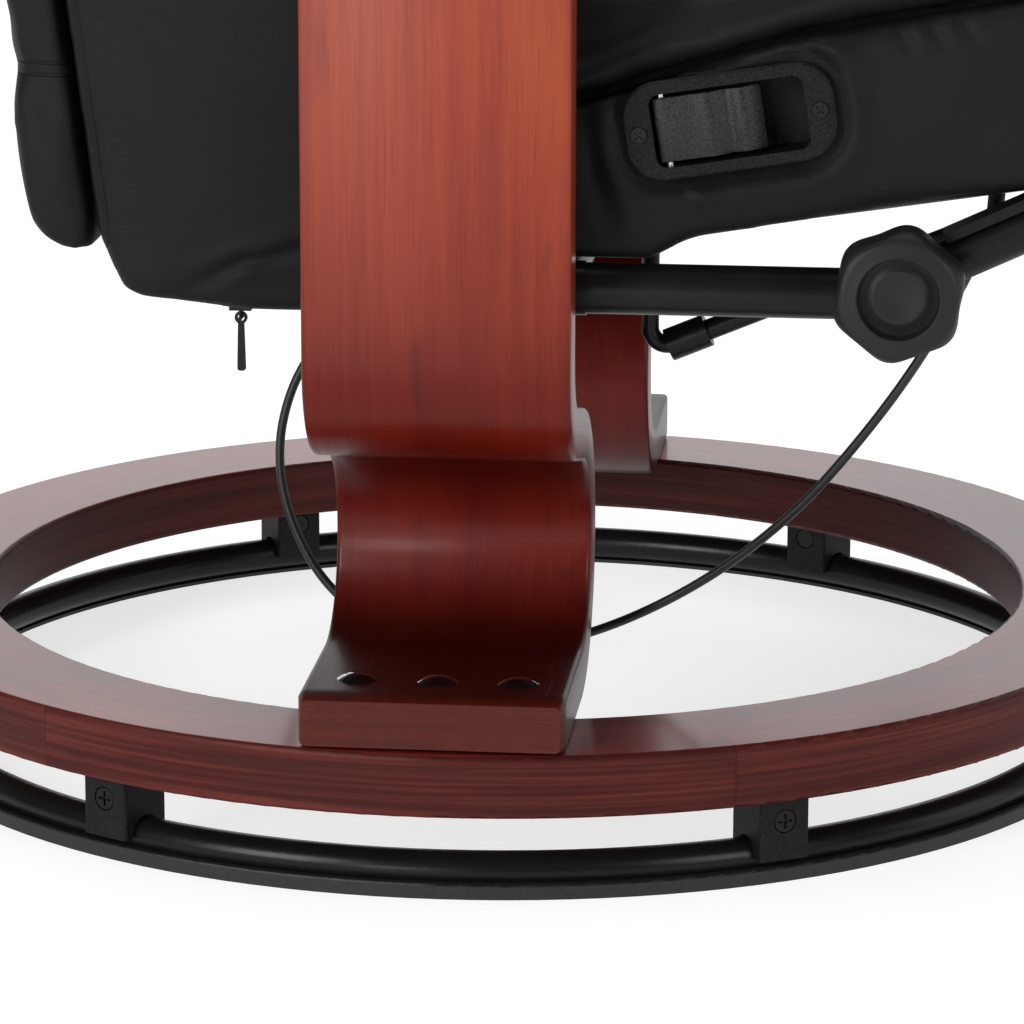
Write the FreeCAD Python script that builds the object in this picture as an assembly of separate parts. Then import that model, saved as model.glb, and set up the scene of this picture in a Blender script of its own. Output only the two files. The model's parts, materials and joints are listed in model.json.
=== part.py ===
import FreeCAD, Part
import math
import os

# Swivel recliner on a round bentwood base. Millimetres, Z up, origin on the floor under
# the swivel axis, +X to the front of the chair, +Y to the sitter's left.

# Clearances that are used all over the chair
running_fit = 0.05
seat_gap = 0.3
rest_gap = 0.3
overrun = 5.0
point_tolerance = 0.003
cross_reach_share = 0.7

# Round base: wooden ring on a steel track ring that lies in a floor strip
ring_outer_radius = 350.0
ring_inner_radius = 284.0
ring_thickness = 32.0
ring_top = 76.5
ring_edge_round = 2.5
track_radius = 325.0
track_tube_radius = 9.4
strip_floor_thickness = 2.0
strip_inner_radius = 320.0
strip_outer_radius = 339.0
strip_lip_thickness = 4.0
strip_lip_height = 8.0

# Rollers and their brackets under the wooden ring
roller_count = 6
roller_radius = 10.9
roller_width = 12.0
bracket_width = 27.0
bracket_depth = 32.0
bracket_bottom = 12.0
bracket_round = 2.0
tunnel_clearance = 1.2
pocket_clearance = 0.6
axle_radius = 3.0
axle_head_radius = 5.6
axle_head_height = 2.2
axle_recess = 2.5
axle_cross_width = 1.4
axle_cross_depth = 1.2
peg_radius = 3.0
peg_length = 12.0
peg_offset = 11.25

# Bentwood uprights, each one strip bent from the foot to the arm
upright_width = 130.6
upright_thickness = 27.0
upright_edge_round = 2.5
upright_inner = 295.0
foot_reach = 346.3
foot_bend_place = 249.5
foot_bend_radius = 61.6
shelf_slope = 13.0
shelf_bend_radius = 41.0
upright_straight = 217.0
arm_bend_radius = 43.5
arm_tongue_length = 14.0

# Bolts that hold each foot to the ring, and their domed caps
foot_bolt_count = 3
foot_bolt_pitch = 39.5
foot_bolt_place = 312.0
foot_bolt_radius = 4.0
foot_bolt_head_radius = 6.5
foot_bolt_head_height = 5.0
foot_bolt_depth = 24.0
foot_recess_radius = 8.0
foot_recess_depth = 9.0
cap_radius = 10.4
cap_height = 3.2
cap_stem_length = 3.0

# Steel side tubes, their mounting plates and the cross tube
frame_tube_radius = 12.5
tube_wall = 1.8
frame_tube_height = 294.7
frame_tube_rear = -45.0
frame_tube_end_gap = 24.0
collar_radius = 13.3
collar_width = 7.0
collar_place = 62.0
plate_thickness = 4.0
plate_rear = -50.0
plate_front = 60.0
plate_bottom = 263.0
plate_top = 336.0
plate_corner = 8.0
plate_bolt_radius = 4.0
plate_bolt_head_radius = 7.0
plate_bolt_head_height = 4.0
plate_bolt_depth = 18.0
plate_bolt_inset = 11.0
cross_tube_place = 35.0
cross_tube_height = 246.0
cross_tube_radius = 9.0
cross_tube_half_length = 272.0
gusset_thickness = 4.0
gusset_half_width = 20.0

# Tilt pivot at the front of the side tubes, with its clamp knobs
pivot_place = 221.0
pivot_height = 300.0
eye_radius = 13.0
eye_thickness = 5.0
eye_gap = 0.3
eye_length = 36.0
pivot_bolt_radius = 4.0
pivot_head_radius = 6.5
pivot_head_height = 5.0
pivot_bolt_end = 306.0
knob_inner_face = 292.3
knob_outer_face = 317.5
knob_radius = 32.6
knob_valley_radius = 29.6
knob_lobes = 6
knob_phase = 21.0
knob_hub_radius = 11.0
knob_dish_radius = 19.5
knob_dish_depth = 7.0
knob_dome_radius = 12.6
knob_dome_height = 3.0
knob_barrel_radius = 33.2
knob_edge_round = 6.5

# Arm rests
arm_board_thickness = 16.0
arm_board_inner = 294.0
arm_board_width = 80.0
arm_board_rear = -165.0
arm_board_front = 205.0
arm_board_corner = 20.0
arm_pad_overhang = 3.0
arm_pad_thickness = 38.0
arm_pad_crown = 9.0
arm_screw_radius = 3.0
arm_screw_head_radius = 5.5
arm_screw_head_height = 3.0
arm_screw_pitch = 72.0
arm_screw_depth = 12.0

# Seat frame: rails, cross tubes, and the sloping arms that hang it on the pivot
arm_slope = 25.0
seat_arm_radius = 11.0
strip_width = 20.0
strip_thickness = 4.0
strip_start = 29.0
front_tube_place = 350.0
rail_place = 235.0
rail_radius = 10.0
hinge_place = -40.0
hinge_height = 300.0
mid_tube_place = 200.0
mid_tube_radius = 9.0
rear_tube_radius = 11.0
webbing_thickness = 2.0
webbing_width = 48.0
webbing_count = 5
webbing_gap = 0.2
core_gap = 0.3
core_rear_gap = 3.0
webbing_lead_share = 0.75
webbing_room_share = 0.6

# Seat upholstery
side_inner = 257.0
side_outer = 283.0
side_edge_round = 7.0
seat_rear = -30.0
seat_front = 372.0
seat_rear_bottom = 309.0
seam_rear_height = 366.0
seam_rise = 86.0
seat_step_place = 112.0
seat_step_low = 308.5
seat_step_high = 319.0
seat_belly_place = 258.0
seat_belly_height = 344.3
seat_corner_round = 12.0
seat_nose = 16.0
seat_half_width = 284.0
seat_side_bulge = 9.0
seat_crown = 11.0
seat_pad_thickness = 44.0
seat_roll_rise = 13.0
seat_draw_in = 5.0
seat_rolls = 3

# Back: frame tubes, core, side panels and rear panel
back_tube_place = 236.0
back_tube_radius = 10.0
back_knee_height = 500.0
back_top = 1000.0
back_frame_top = 955.0
back_front_low = -50.0
back_front_knee = -66.0
back_front_top = -272.0
back_rear_low = -173.0
back_rear_low_height = 315.0
back_rear_knee = -196.0
back_rear_top = -361.0
back_bottom = 279.0
back_bottom_rear = 285.5
back_bottom_front = -60.0
back_bottom_middle = -101.6
back_bottom_rear_place = -158.6
back_corner_round = 10.0
core_front_bottom = -80.0
frame_bury = 12.8
back_webbing_lift = 0.9
lower_bar_height = 335.0
lower_bar_radius = 8.0
hinge_plate_radius = 14.0
hinge_plate_thickness = 4.7
hinge_plate_height = 375.0
hinge_bolt_radius = 5.0
hinge_bolt_head_radius = 8.0
hinge_bolt_head_height = 4.0
rear_panel_half_width = 277.0
rear_panel_depth = 38.0
rear_panel_top_depth = 30.0
rear_panel_rise = 13.0
rear_panel_crown = 6.0
rear_panel_bottom = 304.0
rear_panel_seam = 390.0
rear_panel_top = 992.0
rear_panel_draw_in = 4.0

# Front cushions of the back, each a stack of sewn rolls
cushion_half_width = 276.0
cushion_side_bulge = 10.0
cushion_draw_in = 5.0
cushion_gap = 2.5
lumbar_bottom = 446.0
lumbar_top = 640.0
lumbar_thickness = 42.0
lumbar_rise = 17.0
lumbar_rolls = 2
upper_top = 838.0
upper_thickness = 38.0
upper_rise = 15.0
upper_rolls = 2
head_top = 1002.0
head_thickness = 44.0
head_rise = 24.0
head_rolls = 1
head_fold_height = 18.0
cushion_crown = 10.0

# Recline lock: a lockable strut under the seat between frame and back
strut_front_place = 200.0
strut_front_height = 302.0
strut_rear_place = -45.0
strut_rear_height = 255.0
strut_radius = 10.0
strut_cylinder_length = 138.0
strut_rod_radius = 4.0
strut_eye_radius = 8.0
strut_eye_half_width = 5.5
strut_pin_radius = 4.0
strut_neck_length = 14.0
strut_rod_inside_length = 90.0
strut_bore_spare_length = 30.0
strut_bore_gap = 0.1
rear_pin_radius = 3.0
rear_eye_clearance = 2.4
rear_eye_radius = 9.0
clevis_thickness = 4.0
clevis_gap = 0.5
clevis_half_width = 9.0
lever_half_width = 8.0
lever_knee_place = -67.0
lever_knee_height = 282.0
pin_overhang = 2.0

# Stays under the seat rails: a straight rod, a sleeve and a bent rod on each side
stay_rod_radius = 5.2
stay_sleeve_radius = 8.2
stay_sleeve_length = 21.0
stay_sleeve_place = 116.0
stay_sleeve_height = 262.0
stay_hook_radius = 4.4
stay_hook_place = 97.0
stay_hook_bend = 8.5

# Recline handle, set flush in the sitter's right side of the seat
handle_place = 138.0
handle_drop = 29.5
handle_tilt = 9.2
bezel_length = 103.0
bezel_height = 48.5
bezel_thickness = 3.4
bezel_round = 2.0
bezel_corner = 18.0
opening_length = 75.0
opening_height = 36.0
opening_corner = 5.5
cup_wall = 2.0
cup_depth = 22.0
pocket_gap = 0.4
handle_screw_place = 44.0
handle_screw_radius = 2.0
handle_screw_head_radius = 3.6
handle_screw_head_height = 1.6
handle_screw_depth = 14.0
screw_cross_width = 1.3
screw_cross_depth = 1.0
flap_rear = -36.0
flap_front = 16.0
flap_thickness = 3.6
flap_lip_depth = 7.0
flap_side_gap = 2.3
flap_proud = 1.2
flap_hub_radius = 4.0
flap_pin_place = -31.5
flap_pin_depth = 3.6
flap_pin_radius = 1.8
flap_shoulder_place = -6.0
flap_curl_radius = 9.0
leaf_thickness = 0.8
leaf_width = 12.0
leaf_start = -14.0
leaf_run = 13.0
leaf_bend_radius = 3.0
leaf_turn = 150

# Release cable under the seat. Its points are chosen by hand from front to rear.
cable_radius = 2.4
cable_route = [
    (261.0, -219.0, 311.0),
    (250.5, -218.0, 288.0),
    (231.0, -214.0, 250.0),
    (204.5, -206.0, 209.5),
    (170.0, -195.5, 165.0),
    (122.0, -177.0, 121.0),
    (64.0, -160.0, 87.0),
    (8.0, -146.0, 71.0),
    (-42.0, -134.0, 75.0),
    (-80.0, -126.0, 96.0),
    (-102.0, -119.0, 132.0),
    (-109.5, -114.5, 169.0),
    (-102.0, -111.0, 205.0),
    (-84.0, -109.0, 233.0),
    (-64.0, -108.0, 254.0),
    (-49.0, -107.5, 270.0),
]
arc_share = 0.45
fitting_radius = 4.2
fitting_length = 14.0

# Zip slider and its pull under the rear of the back
zip_place = -105.5
zip_side = -250.0
zip_slider_length = 11.0
zip_slider_width = 7.0
zip_slider_height = 4.6
zip_bail_radius = 1.0
zip_bail_drop = 4.0
zip_leg_inset = 1.6
zip_leg_radius = 0.8
zip_pull_length = 27.0
zip_pull_width = 4.4
zip_pull_thickness = 1.4
zip_ring_radius = 3.2
zip_ring_bore = 1.7


# Shared helpers

def at(x, y, z):
    return FreeCAD.Vector(x, y, z)


def rod(start, end, radius):
    axis = end - start
    return Part.makeCylinder(radius, axis.Length, start, axis)


def tube(start, end, radius, wall):
    return rod(start, end, radius).cut(rod(start, end, radius - wall))


def block(low, high):
    size = high - low
    return Part.makeBox(size.x, size.y, size.z, low)


def fuse(shapes):
    joined = shapes[0]
    for shape in shapes[1:]:
        joined = joined.fuse(shape)
    return joined.removeSplitter()


def in_xz(across, up):
    return at(across, 0, up)


def in_yz(across, up):
    return at(0, across, up)


def rounded_face(corners, place):
    """Face of a closed outline, whose corners are (across, up, rounding)."""
    points = [FreeCAD.Vector(corner[0], corner[1], 0) for corner in corners]
    edges = []
    spans = []
    for index, corner in enumerate(corners):
        here = points[index]
        back = (points[index - 1] - here).normalize()
        ahead = (points[(index + 1) % len(points)] - here).normalize()
        if corner[2] > 0:
            half = back.getAngle(ahead) / 2
            reach = corner[2] / math.tan(half)
            inward = (back + ahead).normalize()
            centre = here + inward * (corner[2] / math.sin(half))
            spans.append((here + back * reach, centre - inward * corner[2], here + ahead * reach))
        else:
            spans.append((here, None, here))
    for index, (start, middle, end) in enumerate(spans):
        before = spans[index - 1][2]
        if not before.isEqual(start, point_tolerance):
            edges.append(Part.LineSegment(place(before.x, before.y), place(start.x, start.y)).toShape())
        if middle is not None:
            bend = [place(point.x, point.y) for point in (start, middle, end)]
            edges.append(Part.Arc(*bend).toShape())
    return Part.Face(Part.Wire(edges))


def plate_xz(corners, y_start, y_end):
    """Plate with its outline in the side view, between two planes across the chair."""
    face = rounded_face(corners, in_xz)
    face.translate(at(0, y_start, 0))
    return face.extrude(at(0, y_end - y_start, 0))


def link_xz(start, end, radius, y_start, y_end):
    """Flat link with round ends between two places (x, z) of the side view."""
    first = at(start[0], y_start, start[1])
    second = at(end[0], y_start, end[1])
    across = at(0, y_end - y_start, 0)
    along = (second - first).normalize()
    side = along.cross(at(0, 1, 0)) * radius
    corners = [first + side, second + side, second - side, first - side, first + side]
    bar = Part.Face(Part.makePolygon(corners)).extrude(across)
    ends = [Part.makeCylinder(radius, across.Length, point, across) for point in (first, second)]
    return fuse([bar] + ends)


def bent_strip(start, heading, moves, thickness, place):
    """Face of a strip that follows straight runs and turns from a start point.

    Each move is (length, 0) for a run or (radius, degrees) for a turn, left positive."""
    point = FreeCAD.Vector(start[0], start[1], 0)
    angle = math.radians(heading)
    sides = {1: [], -1: []}
    steps = []
    for size, turn in moves:
        parts = max(1, math.ceil(abs(turn) / 90))
        steps += [(size, turn / parts)] * parts
    first_ends = []
    last_ends = []
    for size, turn in steps:
        forward = FreeCAD.Vector(math.cos(angle), math.sin(angle), 0)
        left = FreeCAD.Vector(-math.sin(angle), math.cos(angle), 0)
        if not first_ends:
            first_ends = [point + left * (side * thickness / 2) for side in (1, -1)]
        if turn == 0:
            target = point + forward * size
            for side in (1, -1):
                offset = left * (side * thickness / 2)
                sides[side].append(("line", point + offset, target + offset))
        else:
            centre = point + left * (size * math.copysign(1, turn))
            spin = math.radians(turn)
            target = centre + turned(point - centre, spin)
            for side in (1, -1):
                begin = point + left * (side * thickness / 2) - centre
                arc = [centre + turned(begin, spin * share) for share in (0, 0.5, 1)]
                sides[side].append(("arc",) + tuple(arc))
            angle += spin
        point = target
        left = FreeCAD.Vector(-math.sin(angle), math.cos(angle), 0)
        last_ends = [point + left * (side * thickness / 2) for side in (1, -1)]
    edges = []
    for kind, *points in sides[1] + sides[-1]:
        placed = [place(spot.x, spot.y) for spot in points]
        curve = Part.Arc(*placed) if kind == "arc" else Part.LineSegment(*placed)
        edges.append(curve.toShape())
    for ends in (first_ends, last_ends):
        edges.append(Part.LineSegment(*[place(spot.x, spot.y) for spot in ends]).toShape())
    return Part.Face(Part.Wire(Part.__sortEdges__(edges)))


def turned(vector, spin):
    return FreeCAD.Vector(
        vector.x * math.cos(spin) - vector.y * math.sin(spin),
        vector.x * math.sin(spin) + vector.y * math.cos(spin),
        0,
    )


def on_line(places, spot):
    """Height at a spot of a line through several (place, height) pairs."""
    for (start, low), (end, high) in zip(places, places[1:]):
        if spot <= end or (end, high) == places[-1]:
            return low + (high - low) * (spot - start) / (end - start)


def pad_section(place, spot, half_width, low, high, crown, bulge):
    """Closed outline of a pad: flat underside, bulging sides and a crowned top."""
    edge = half_width - bulge
    middle = (low + high) / 2
    corners = [place(spot, -edge, low), place(spot, edge, low)]
    corners += [place(spot, edge, high), place(spot, -edge, high)]
    return Part.Wire([
        Part.LineSegment(corners[0], corners[1]).toShape(),
        Part.Arc(corners[1], place(spot, half_width, middle), corners[2]).toShape(),
        Part.Arc(corners[2], place(spot, 0, high + crown), corners[3]).toShape(),
        Part.Arc(corners[3], place(spot, -half_width, middle), corners[0]).toShape(),
    ])


roll_shares = (0, 0.06, 0.2, 0.5, 0.8, 0.94)


def roll_stations(start, end, rolls):
    """Spots along a row of sewn rolls, each with its fullness from 0 at a seam to 1."""
    stations = []
    for roll in range(rolls):
        for share in roll_shares:
            fullness = (1 - abs(2 * share - 1) ** 3) ** 0.5
            stations.append((start + (end - start) * (roll + share) / rolls, fullness))
    return stations + [(end, 0)]


def filled(share, fullness):
    """Share of a size where a pad is that full, from the share at its seam to 1."""
    return share + (1 - share) * fullness


def with_spot(stations, spot):
    """The stations with one more at a spot where the surface behind them turns."""
    result = []
    for (start, fullness), (end, following) in zip(stations, stations[1:]):
        result.append((start, fullness))
        if start < spot < end:
            result.append((spot, fullness + (following - fullness) * (spot - start) / (end - start)))
    return result + [stations[-1]]


def pad(sections):
    return Part.makeLoft(sections, True, True)


def cross_recess(point, direction, across, width, reach, depth):
    """Cross-shaped driver recess at a screw head's face."""
    other = direction.cross(across)
    arms = []
    for long_way, short_way in ((across, other), (other, across)):
        corner = point - long_way * reach - short_way * (width / 2)
        path = [corner, corner + long_way * (2 * reach)]
        path += [path[1] + short_way * width, corner + short_way * width, corner]
        arms.append(Part.Face(Part.makePolygon(path)).extrude(direction * -depth))
    return arms[0].fuse(arms[1])


def mirrored(shape):
    return shape.mirror(at(0, 0, 0), at(0, 1, 0))


def save(name, solids):
    shape = Part.makeCompound(solids) if len(solids) > 1 else solids[0]
    for solid in shape.Solids:
        if not solid.isValid():
            print("not valid:", name)
    print(name, len(shape.Solids), "solids, volume", round(shape.Volume))
    shape.exportStep("parts/" + name + ".step")


def save_pair(name, left):
    save(name + "_left", [left])
    save(name + "_right", [mirrored(left)])


def both_sides(left):
    return [left, mirrored(left)]


# Places that several pieces share
ring_bottom = ring_top - ring_thickness
track_height = strip_floor_thickness + track_tube_radius
track_top = track_height + track_tube_radius
axle_height = track_top + seat_gap + roller_radius
frame_tube_side = upright_inner - plate_thickness - frame_tube_radius
arm_eye_outer = frame_tube_side - eye_gap / 2
frame_eye_inner = frame_tube_side + eye_gap / 2
seat_arm_side = arm_eye_outer - eye_thickness / 2
slope = math.radians(arm_slope)
arm_direction = at(math.cos(slope), 0, math.sin(slope))
arm_up = at(-math.sin(slope), 0, math.cos(slope))
front_tube_height = pivot_height + (front_tube_place - pivot_place) * math.tan(slope)
rail_line = [(hinge_place, hinge_height), (front_tube_place, front_tube_height)]


# Floor ring and strip

def make_floor_ring():
    return Part.makeTorus(track_radius, track_tube_radius, at(0, 0, track_height))


def make_floor_strip():
    corners = [
        (strip_inner_radius, 0, 0),
        (strip_outer_radius, 0, 0),
        (strip_outer_radius, strip_lip_height, strip_lip_thickness / 3),
        (strip_outer_radius - strip_lip_thickness, strip_lip_height, 0),
        (strip_outer_radius - strip_lip_thickness, strip_floor_thickness, 0),
        (strip_inner_radius, strip_floor_thickness, 0),
    ]
    return rounded_face(corners, in_xz).revolve(at(0, 0, 0), at(0, 0, 1), 360)


# Wooden ring with the holes for bracket pegs and foot bolts

def make_wood_ring():
    corners = [
        (ring_inner_radius, ring_bottom, ring_edge_round),
        (ring_outer_radius, ring_bottom, ring_edge_round),
        (ring_outer_radius, ring_top, ring_edge_round),
        (ring_inner_radius, ring_top, ring_edge_round),
    ]
    ring = rounded_face(corners, in_xz).revolve(at(0, 0, 0), at(0, 0, 1), 360)
    for turn in bracket_turns():
        for offset in (-peg_offset, peg_offset):
            base = at(track_radius + offset, 0, ring_bottom - overrun)
            hole = Part.makeCylinder(peg_radius + running_fit, peg_length + overrun, base)
            hole.rotate(at(0, 0, 0), at(0, 0, 1), turn)
            ring = ring.cut(hole)
    for spot in foot_bolt_spots():
        top = spot + at(0, 0, overrun)
        ring = ring.cut(rod(top, spot - at(0, 0, foot_bolt_depth), foot_bolt_radius))
    return ring


def bracket_turns():
    return [360 * number / roller_count for number in range(roller_count)]


def foot_bolt_spots():
    """Places of the foot bolts on the ring's top face, on both sides of the chair."""
    spots = []
    for side in (1, -1):
        for number in range(foot_bolt_count):
            x = (number - (foot_bolt_count - 1) / 2) * foot_bolt_pitch
            spots.append(at(x, side * foot_bolt_place, ring_top))
    return spots


# Roller brackets, axles and rollers, modelled at the front and turned to their places

def make_bracket():
    half_depth = bracket_depth / 2
    low = at(track_radius - half_depth, -bracket_width / 2, bracket_bottom)
    body = block(low, at(track_radius + half_depth, bracket_width / 2, ring_bottom))
    upright_edges = [
        edge for edge in body.Edges
        if abs(edge.Vertexes[0].Point.z - edge.Vertexes[1].Point.z) > bracket_width / 2
    ]
    body = body.makeFillet(bracket_round, upright_edges)
    tunnel_radius = track_tube_radius + tunnel_clearance
    tunnel_half = bracket_width / 2 + overrun
    tunnel = Part.makeTorus(track_radius, tunnel_radius, at(0, 0, track_height))
    tunnel = tunnel.common(block(
        at(track_radius - bracket_depth, -tunnel_half, 0),
        at(track_radius + bracket_depth, tunnel_half, ring_top),
    ))
    below = block(
        at(track_radius - tunnel_radius + tunnel_clearance / 2, -tunnel_half, bracket_bottom - overrun),
        at(track_radius + tunnel_radius - tunnel_clearance / 2, tunnel_half, track_height),
    )
    pocket_half = roller_width / 2 + pocket_clearance
    pocket = block(
        at(track_radius - pocket_half, -roller_radius - pocket_clearance, track_height),
        at(track_radius + pocket_half, roller_radius + pocket_clearance, ring_bottom + overrun),
    )
    body = body.cut(tunnel).cut(below).cut(pocket)
    middle = at(track_radius, 0, axle_height)
    reach = at(half_depth + overrun, 0, 0)
    body = body.cut(rod(middle - reach, middle + reach, axle_radius + running_fit))
    for side in (1, -1):
        face = middle + at(side * half_depth, 0, 0)
        recess = rod(face - at(side * axle_recess, 0, 0), face + at(side * overrun, 0, 0), head_recess())
        body = body.cut(recess)
    pegs = [
        Part.makeCylinder(peg_radius, peg_length - running_fit, at(track_radius + offset, 0, ring_bottom))
        for offset in (-peg_offset, peg_offset)
    ]
    return fuse([body] + pegs)


def head_recess():
    return axle_head_radius + pocket_clearance


def make_axle():
    middle = at(track_radius, 0, axle_height)
    half = bracket_depth / 2
    inner = at(half - axle_recess, 0, 0)
    outer = at(half - axle_recess + axle_head_height, 0, 0)
    shank = rod(middle - inner, middle + inner, axle_radius)
    heads = [
        rod(middle + inner, middle + outer, axle_head_radius),
        rod(middle - inner, middle - outer, axle_head_radius),
    ]
    axle = fuse([shank] + heads)
    reach = axle_head_radius * cross_reach_share
    return axle.cut(cross_recess(
        middle + outer, at(1, 0, 0), at(0, 1, 0), axle_cross_width, reach, axle_cross_depth))


def make_roller():
    middle = at(track_radius, 0, axle_height)
    half = at(roller_width / 2, 0, 0)
    body = rod(middle - half, middle + half, roller_radius)
    body = body.makeFillet(pocket_clearance, [edge for edge in body.Edges if edge.Closed])
    return body.cut(rod(middle - half * 2, middle + half * 2, axle_radius + running_fit))


def around(shape):
    copies = []
    for turn in bracket_turns():
        copy = shape.copy()
        copy.rotate(at(0, 0, 0), at(0, 0, 1), turn)
        copies.append(copy)
    return copies


# Uprights, foot bolts and caps

def shelf_length():
    """Straight run between the foot's bend and the shelf's bend that ends under the upright."""
    rise = math.radians(shelf_slope)
    start = foot_bend_place - foot_bend_radius * math.sin(rise)
    end = upright_inner + upright_thickness / 2 - shelf_bend_radius * (1 - math.sin(rise))
    return (end - start) / math.cos(rise)


def make_upright():
    """The left upright: one strip from the foot's end to the tongue under the arm."""
    moves = [
        (foot_reach - foot_bend_place, 0),
        (foot_bend_radius, shelf_slope - 180),
        (shelf_length(), 0),
        (shelf_bend_radius, 90 - shelf_slope),
        (upright_straight, 0),
        (arm_bend_radius, -90),
        (arm_tongue_length, 0),
    ]
    start = (foot_reach, ring_top + upright_thickness / 2)
    face = bent_strip(start, 180, moves, upright_thickness, in_yz)
    face.translate(at(-upright_width / 2, 0, 0))
    strip = face.extrude(at(upright_width, 0, 0))
    long_edges = [
        edge for edge in strip.Edges
        if abs(abs(edge.CenterOfMass.x) - upright_width / 2) < running_fit
    ]
    strip = strip.makeFillet(upright_edge_round, long_edges)
    foot_top = ring_top + upright_thickness
    for spot in foot_bolt_spots():
        if spot.y > 0:
            hole_top = at(spot.x, spot.y, foot_top + overrun)
            recess_floor = at(spot.x, spot.y, foot_top - foot_recess_depth)
            strip = strip.cut(rod(spot - at(0, 0, overrun), hole_top, foot_bolt_radius))
            strip = strip.cut(rod(recess_floor, hole_top, foot_recess_radius))
    for spot in plate_bolt_spots():
        hole_end = spot + at(0, plate_thickness + plate_bolt_depth, 0)
        strip = strip.cut(rod(spot, hole_end, plate_bolt_radius))
    for spot in arm_screw_spots():
        strip = strip.cut(rod(spot - at(0, 0, upright_thickness + overrun), spot, arm_screw_radius))
    return strip


def make_foot_bolt(spot):
    head_floor = spot + at(0, 0, upright_thickness - foot_recess_depth)
    shank = rod(spot - at(0, 0, foot_bolt_depth), head_floor, foot_bolt_radius)
    head = Part.makePolygon([
        head_floor + at(
            foot_bolt_head_radius * math.cos(math.radians(60 * corner)),
            foot_bolt_head_radius * math.sin(math.radians(60 * corner)), 0)
        for corner in range(7)
    ])
    return fuse([shank, Part.Face(head).extrude(at(0, 0, foot_bolt_head_height))])


def make_bolt_cap(spot):
    """Domed cap with a stem that sits in the bolt's recess."""
    top = spot + at(0, 0, upright_thickness)
    sphere_radius = (cap_radius ** 2 + cap_height ** 2) / (2 * cap_height)
    ball = Part.makeSphere(sphere_radius, top + at(0, 0, cap_height - sphere_radius))
    lid = Part.makeCylinder(cap_radius, cap_height, top)
    stem_floor = top - at(0, 0, cap_stem_length)
    stem = Part.makeCylinder(foot_recess_radius - running_fit, cap_stem_length, stem_floor)
    return fuse([ball.common(lid), stem])


# Steel base frame

def plate_bolt_spots():
    """Places of the plate bolts on the left plate's inner face."""
    inner_face = upright_inner - plate_thickness
    spots = []
    for x in (plate_rear + plate_bolt_inset, plate_front - plate_bolt_inset):
        for z in (plate_bottom + plate_bolt_inset, plate_top - plate_bolt_inset):
            spots.append(at(x, inner_face, z))
    return spots


def make_frame_tube():
    """Left side tube: open at the rear, flattened to an eye at the pivot."""
    tube_end = pivot_place - frame_tube_end_gap
    start = at(frame_tube_rear, frame_tube_side, frame_tube_height)
    end = at(tube_end, frame_tube_side, frame_tube_height)
    cap = at(tube_wall, 0, 0)
    body = tube(start, end, frame_tube_radius, tube_wall)
    lid = rod(end - cap, end, frame_tube_radius)
    collar_start = at(collar_place, frame_tube_side, frame_tube_height)
    collar = tube(
        collar_start, collar_start + at(collar_width, 0, 0),
        collar_radius, collar_radius - frame_tube_radius + tube_wall / 2)
    eye = link_xz(
        (pivot_place - eye_length, frame_tube_height), (pivot_place, pivot_height), eye_radius,
        frame_eye_inner, frame_eye_inner + eye_thickness)
    keep = block(
        at(tube_end - tube_wall, frame_eye_inner, 0),
        at(pivot_place + overrun + eye_radius, frame_eye_inner + eye_thickness, plate_top))
    joined = fuse([body, lid, collar, eye.common(keep)])
    return joined.cut(pivot_hole())


def pivot_hole():
    return rod(
        at(pivot_place, frame_tube_side - frame_tube_radius - overrun, pivot_height),
        at(pivot_place, knob_inner_face + overrun, pivot_height),
        pivot_bolt_radius + running_fit)


def make_mount_plate():
    corners = [
        (plate_rear, plate_bottom, plate_corner),
        (plate_front, plate_bottom, plate_corner),
        (plate_front, plate_top, plate_corner),
        (plate_rear, plate_top, plate_corner),
    ]
    plate = plate_xz(corners, upright_inner - plate_thickness, upright_inner)
    for spot in plate_bolt_spots():
        inner = spot - at(0, overrun, 0)
        outer = spot + at(0, plate_thickness + overrun, 0)
        plate = plate.cut(rod(inner, outer, plate_bolt_radius))
    return plate


def make_plate_bolt(spot):
    head = rod(spot - at(0, plate_bolt_head_height, 0), spot, plate_bolt_head_radius)
    rim = [edge for edge in head.Edges if edge.Closed and edge.CenterOfMass.y < spot.y - running_fit]
    head = head.makeFillet(plate_bolt_head_height / 2, rim)
    shank_length = plate_thickness + plate_bolt_depth - running_fit
    shank = rod(spot, spot + at(0, shank_length, 0), plate_bolt_radius)
    return fuse([head, shank])


def make_cross_tube():
    """Cross tube with a gusset at each end that is welded under the side tubes."""
    end = at(cross_tube_place, cross_tube_half_length, cross_tube_height)
    body = tube(mirrored_point(end), end, cross_tube_radius, tube_wall)
    gusset = plate_xz([
        (cross_tube_place - gusset_half_width, cross_tube_height, 0),
        (cross_tube_place - gusset_half_width / 2, cross_tube_height - cross_tube_radius, plate_corner),
        (cross_tube_place + gusset_half_width / 2, cross_tube_height - cross_tube_radius, plate_corner),
        (cross_tube_place + gusset_half_width, cross_tube_height, 0),
        (cross_tube_place + gusset_half_width, frame_tube_height, 0),
        (cross_tube_place - gusset_half_width, frame_tube_height, 0),
    ], cross_tube_half_length - gusset_thickness, cross_tube_half_length)
    side_tube = rod(
        at(frame_tube_rear, frame_tube_side, frame_tube_height),
        at(pivot_place, frame_tube_side, frame_tube_height), frame_tube_radius)
    inside = block(
        at(frame_tube_rear, frame_tube_side - frame_tube_radius, frame_tube_height - tube_wall),
        at(pivot_place, frame_tube_side, frame_tube_height + overrun))
    return fuse([body] + both_sides(gusset.cut(side_tube).cut(inside)))


def mirrored_point(point):
    return at(point.x, -point.y, point.z)


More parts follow.
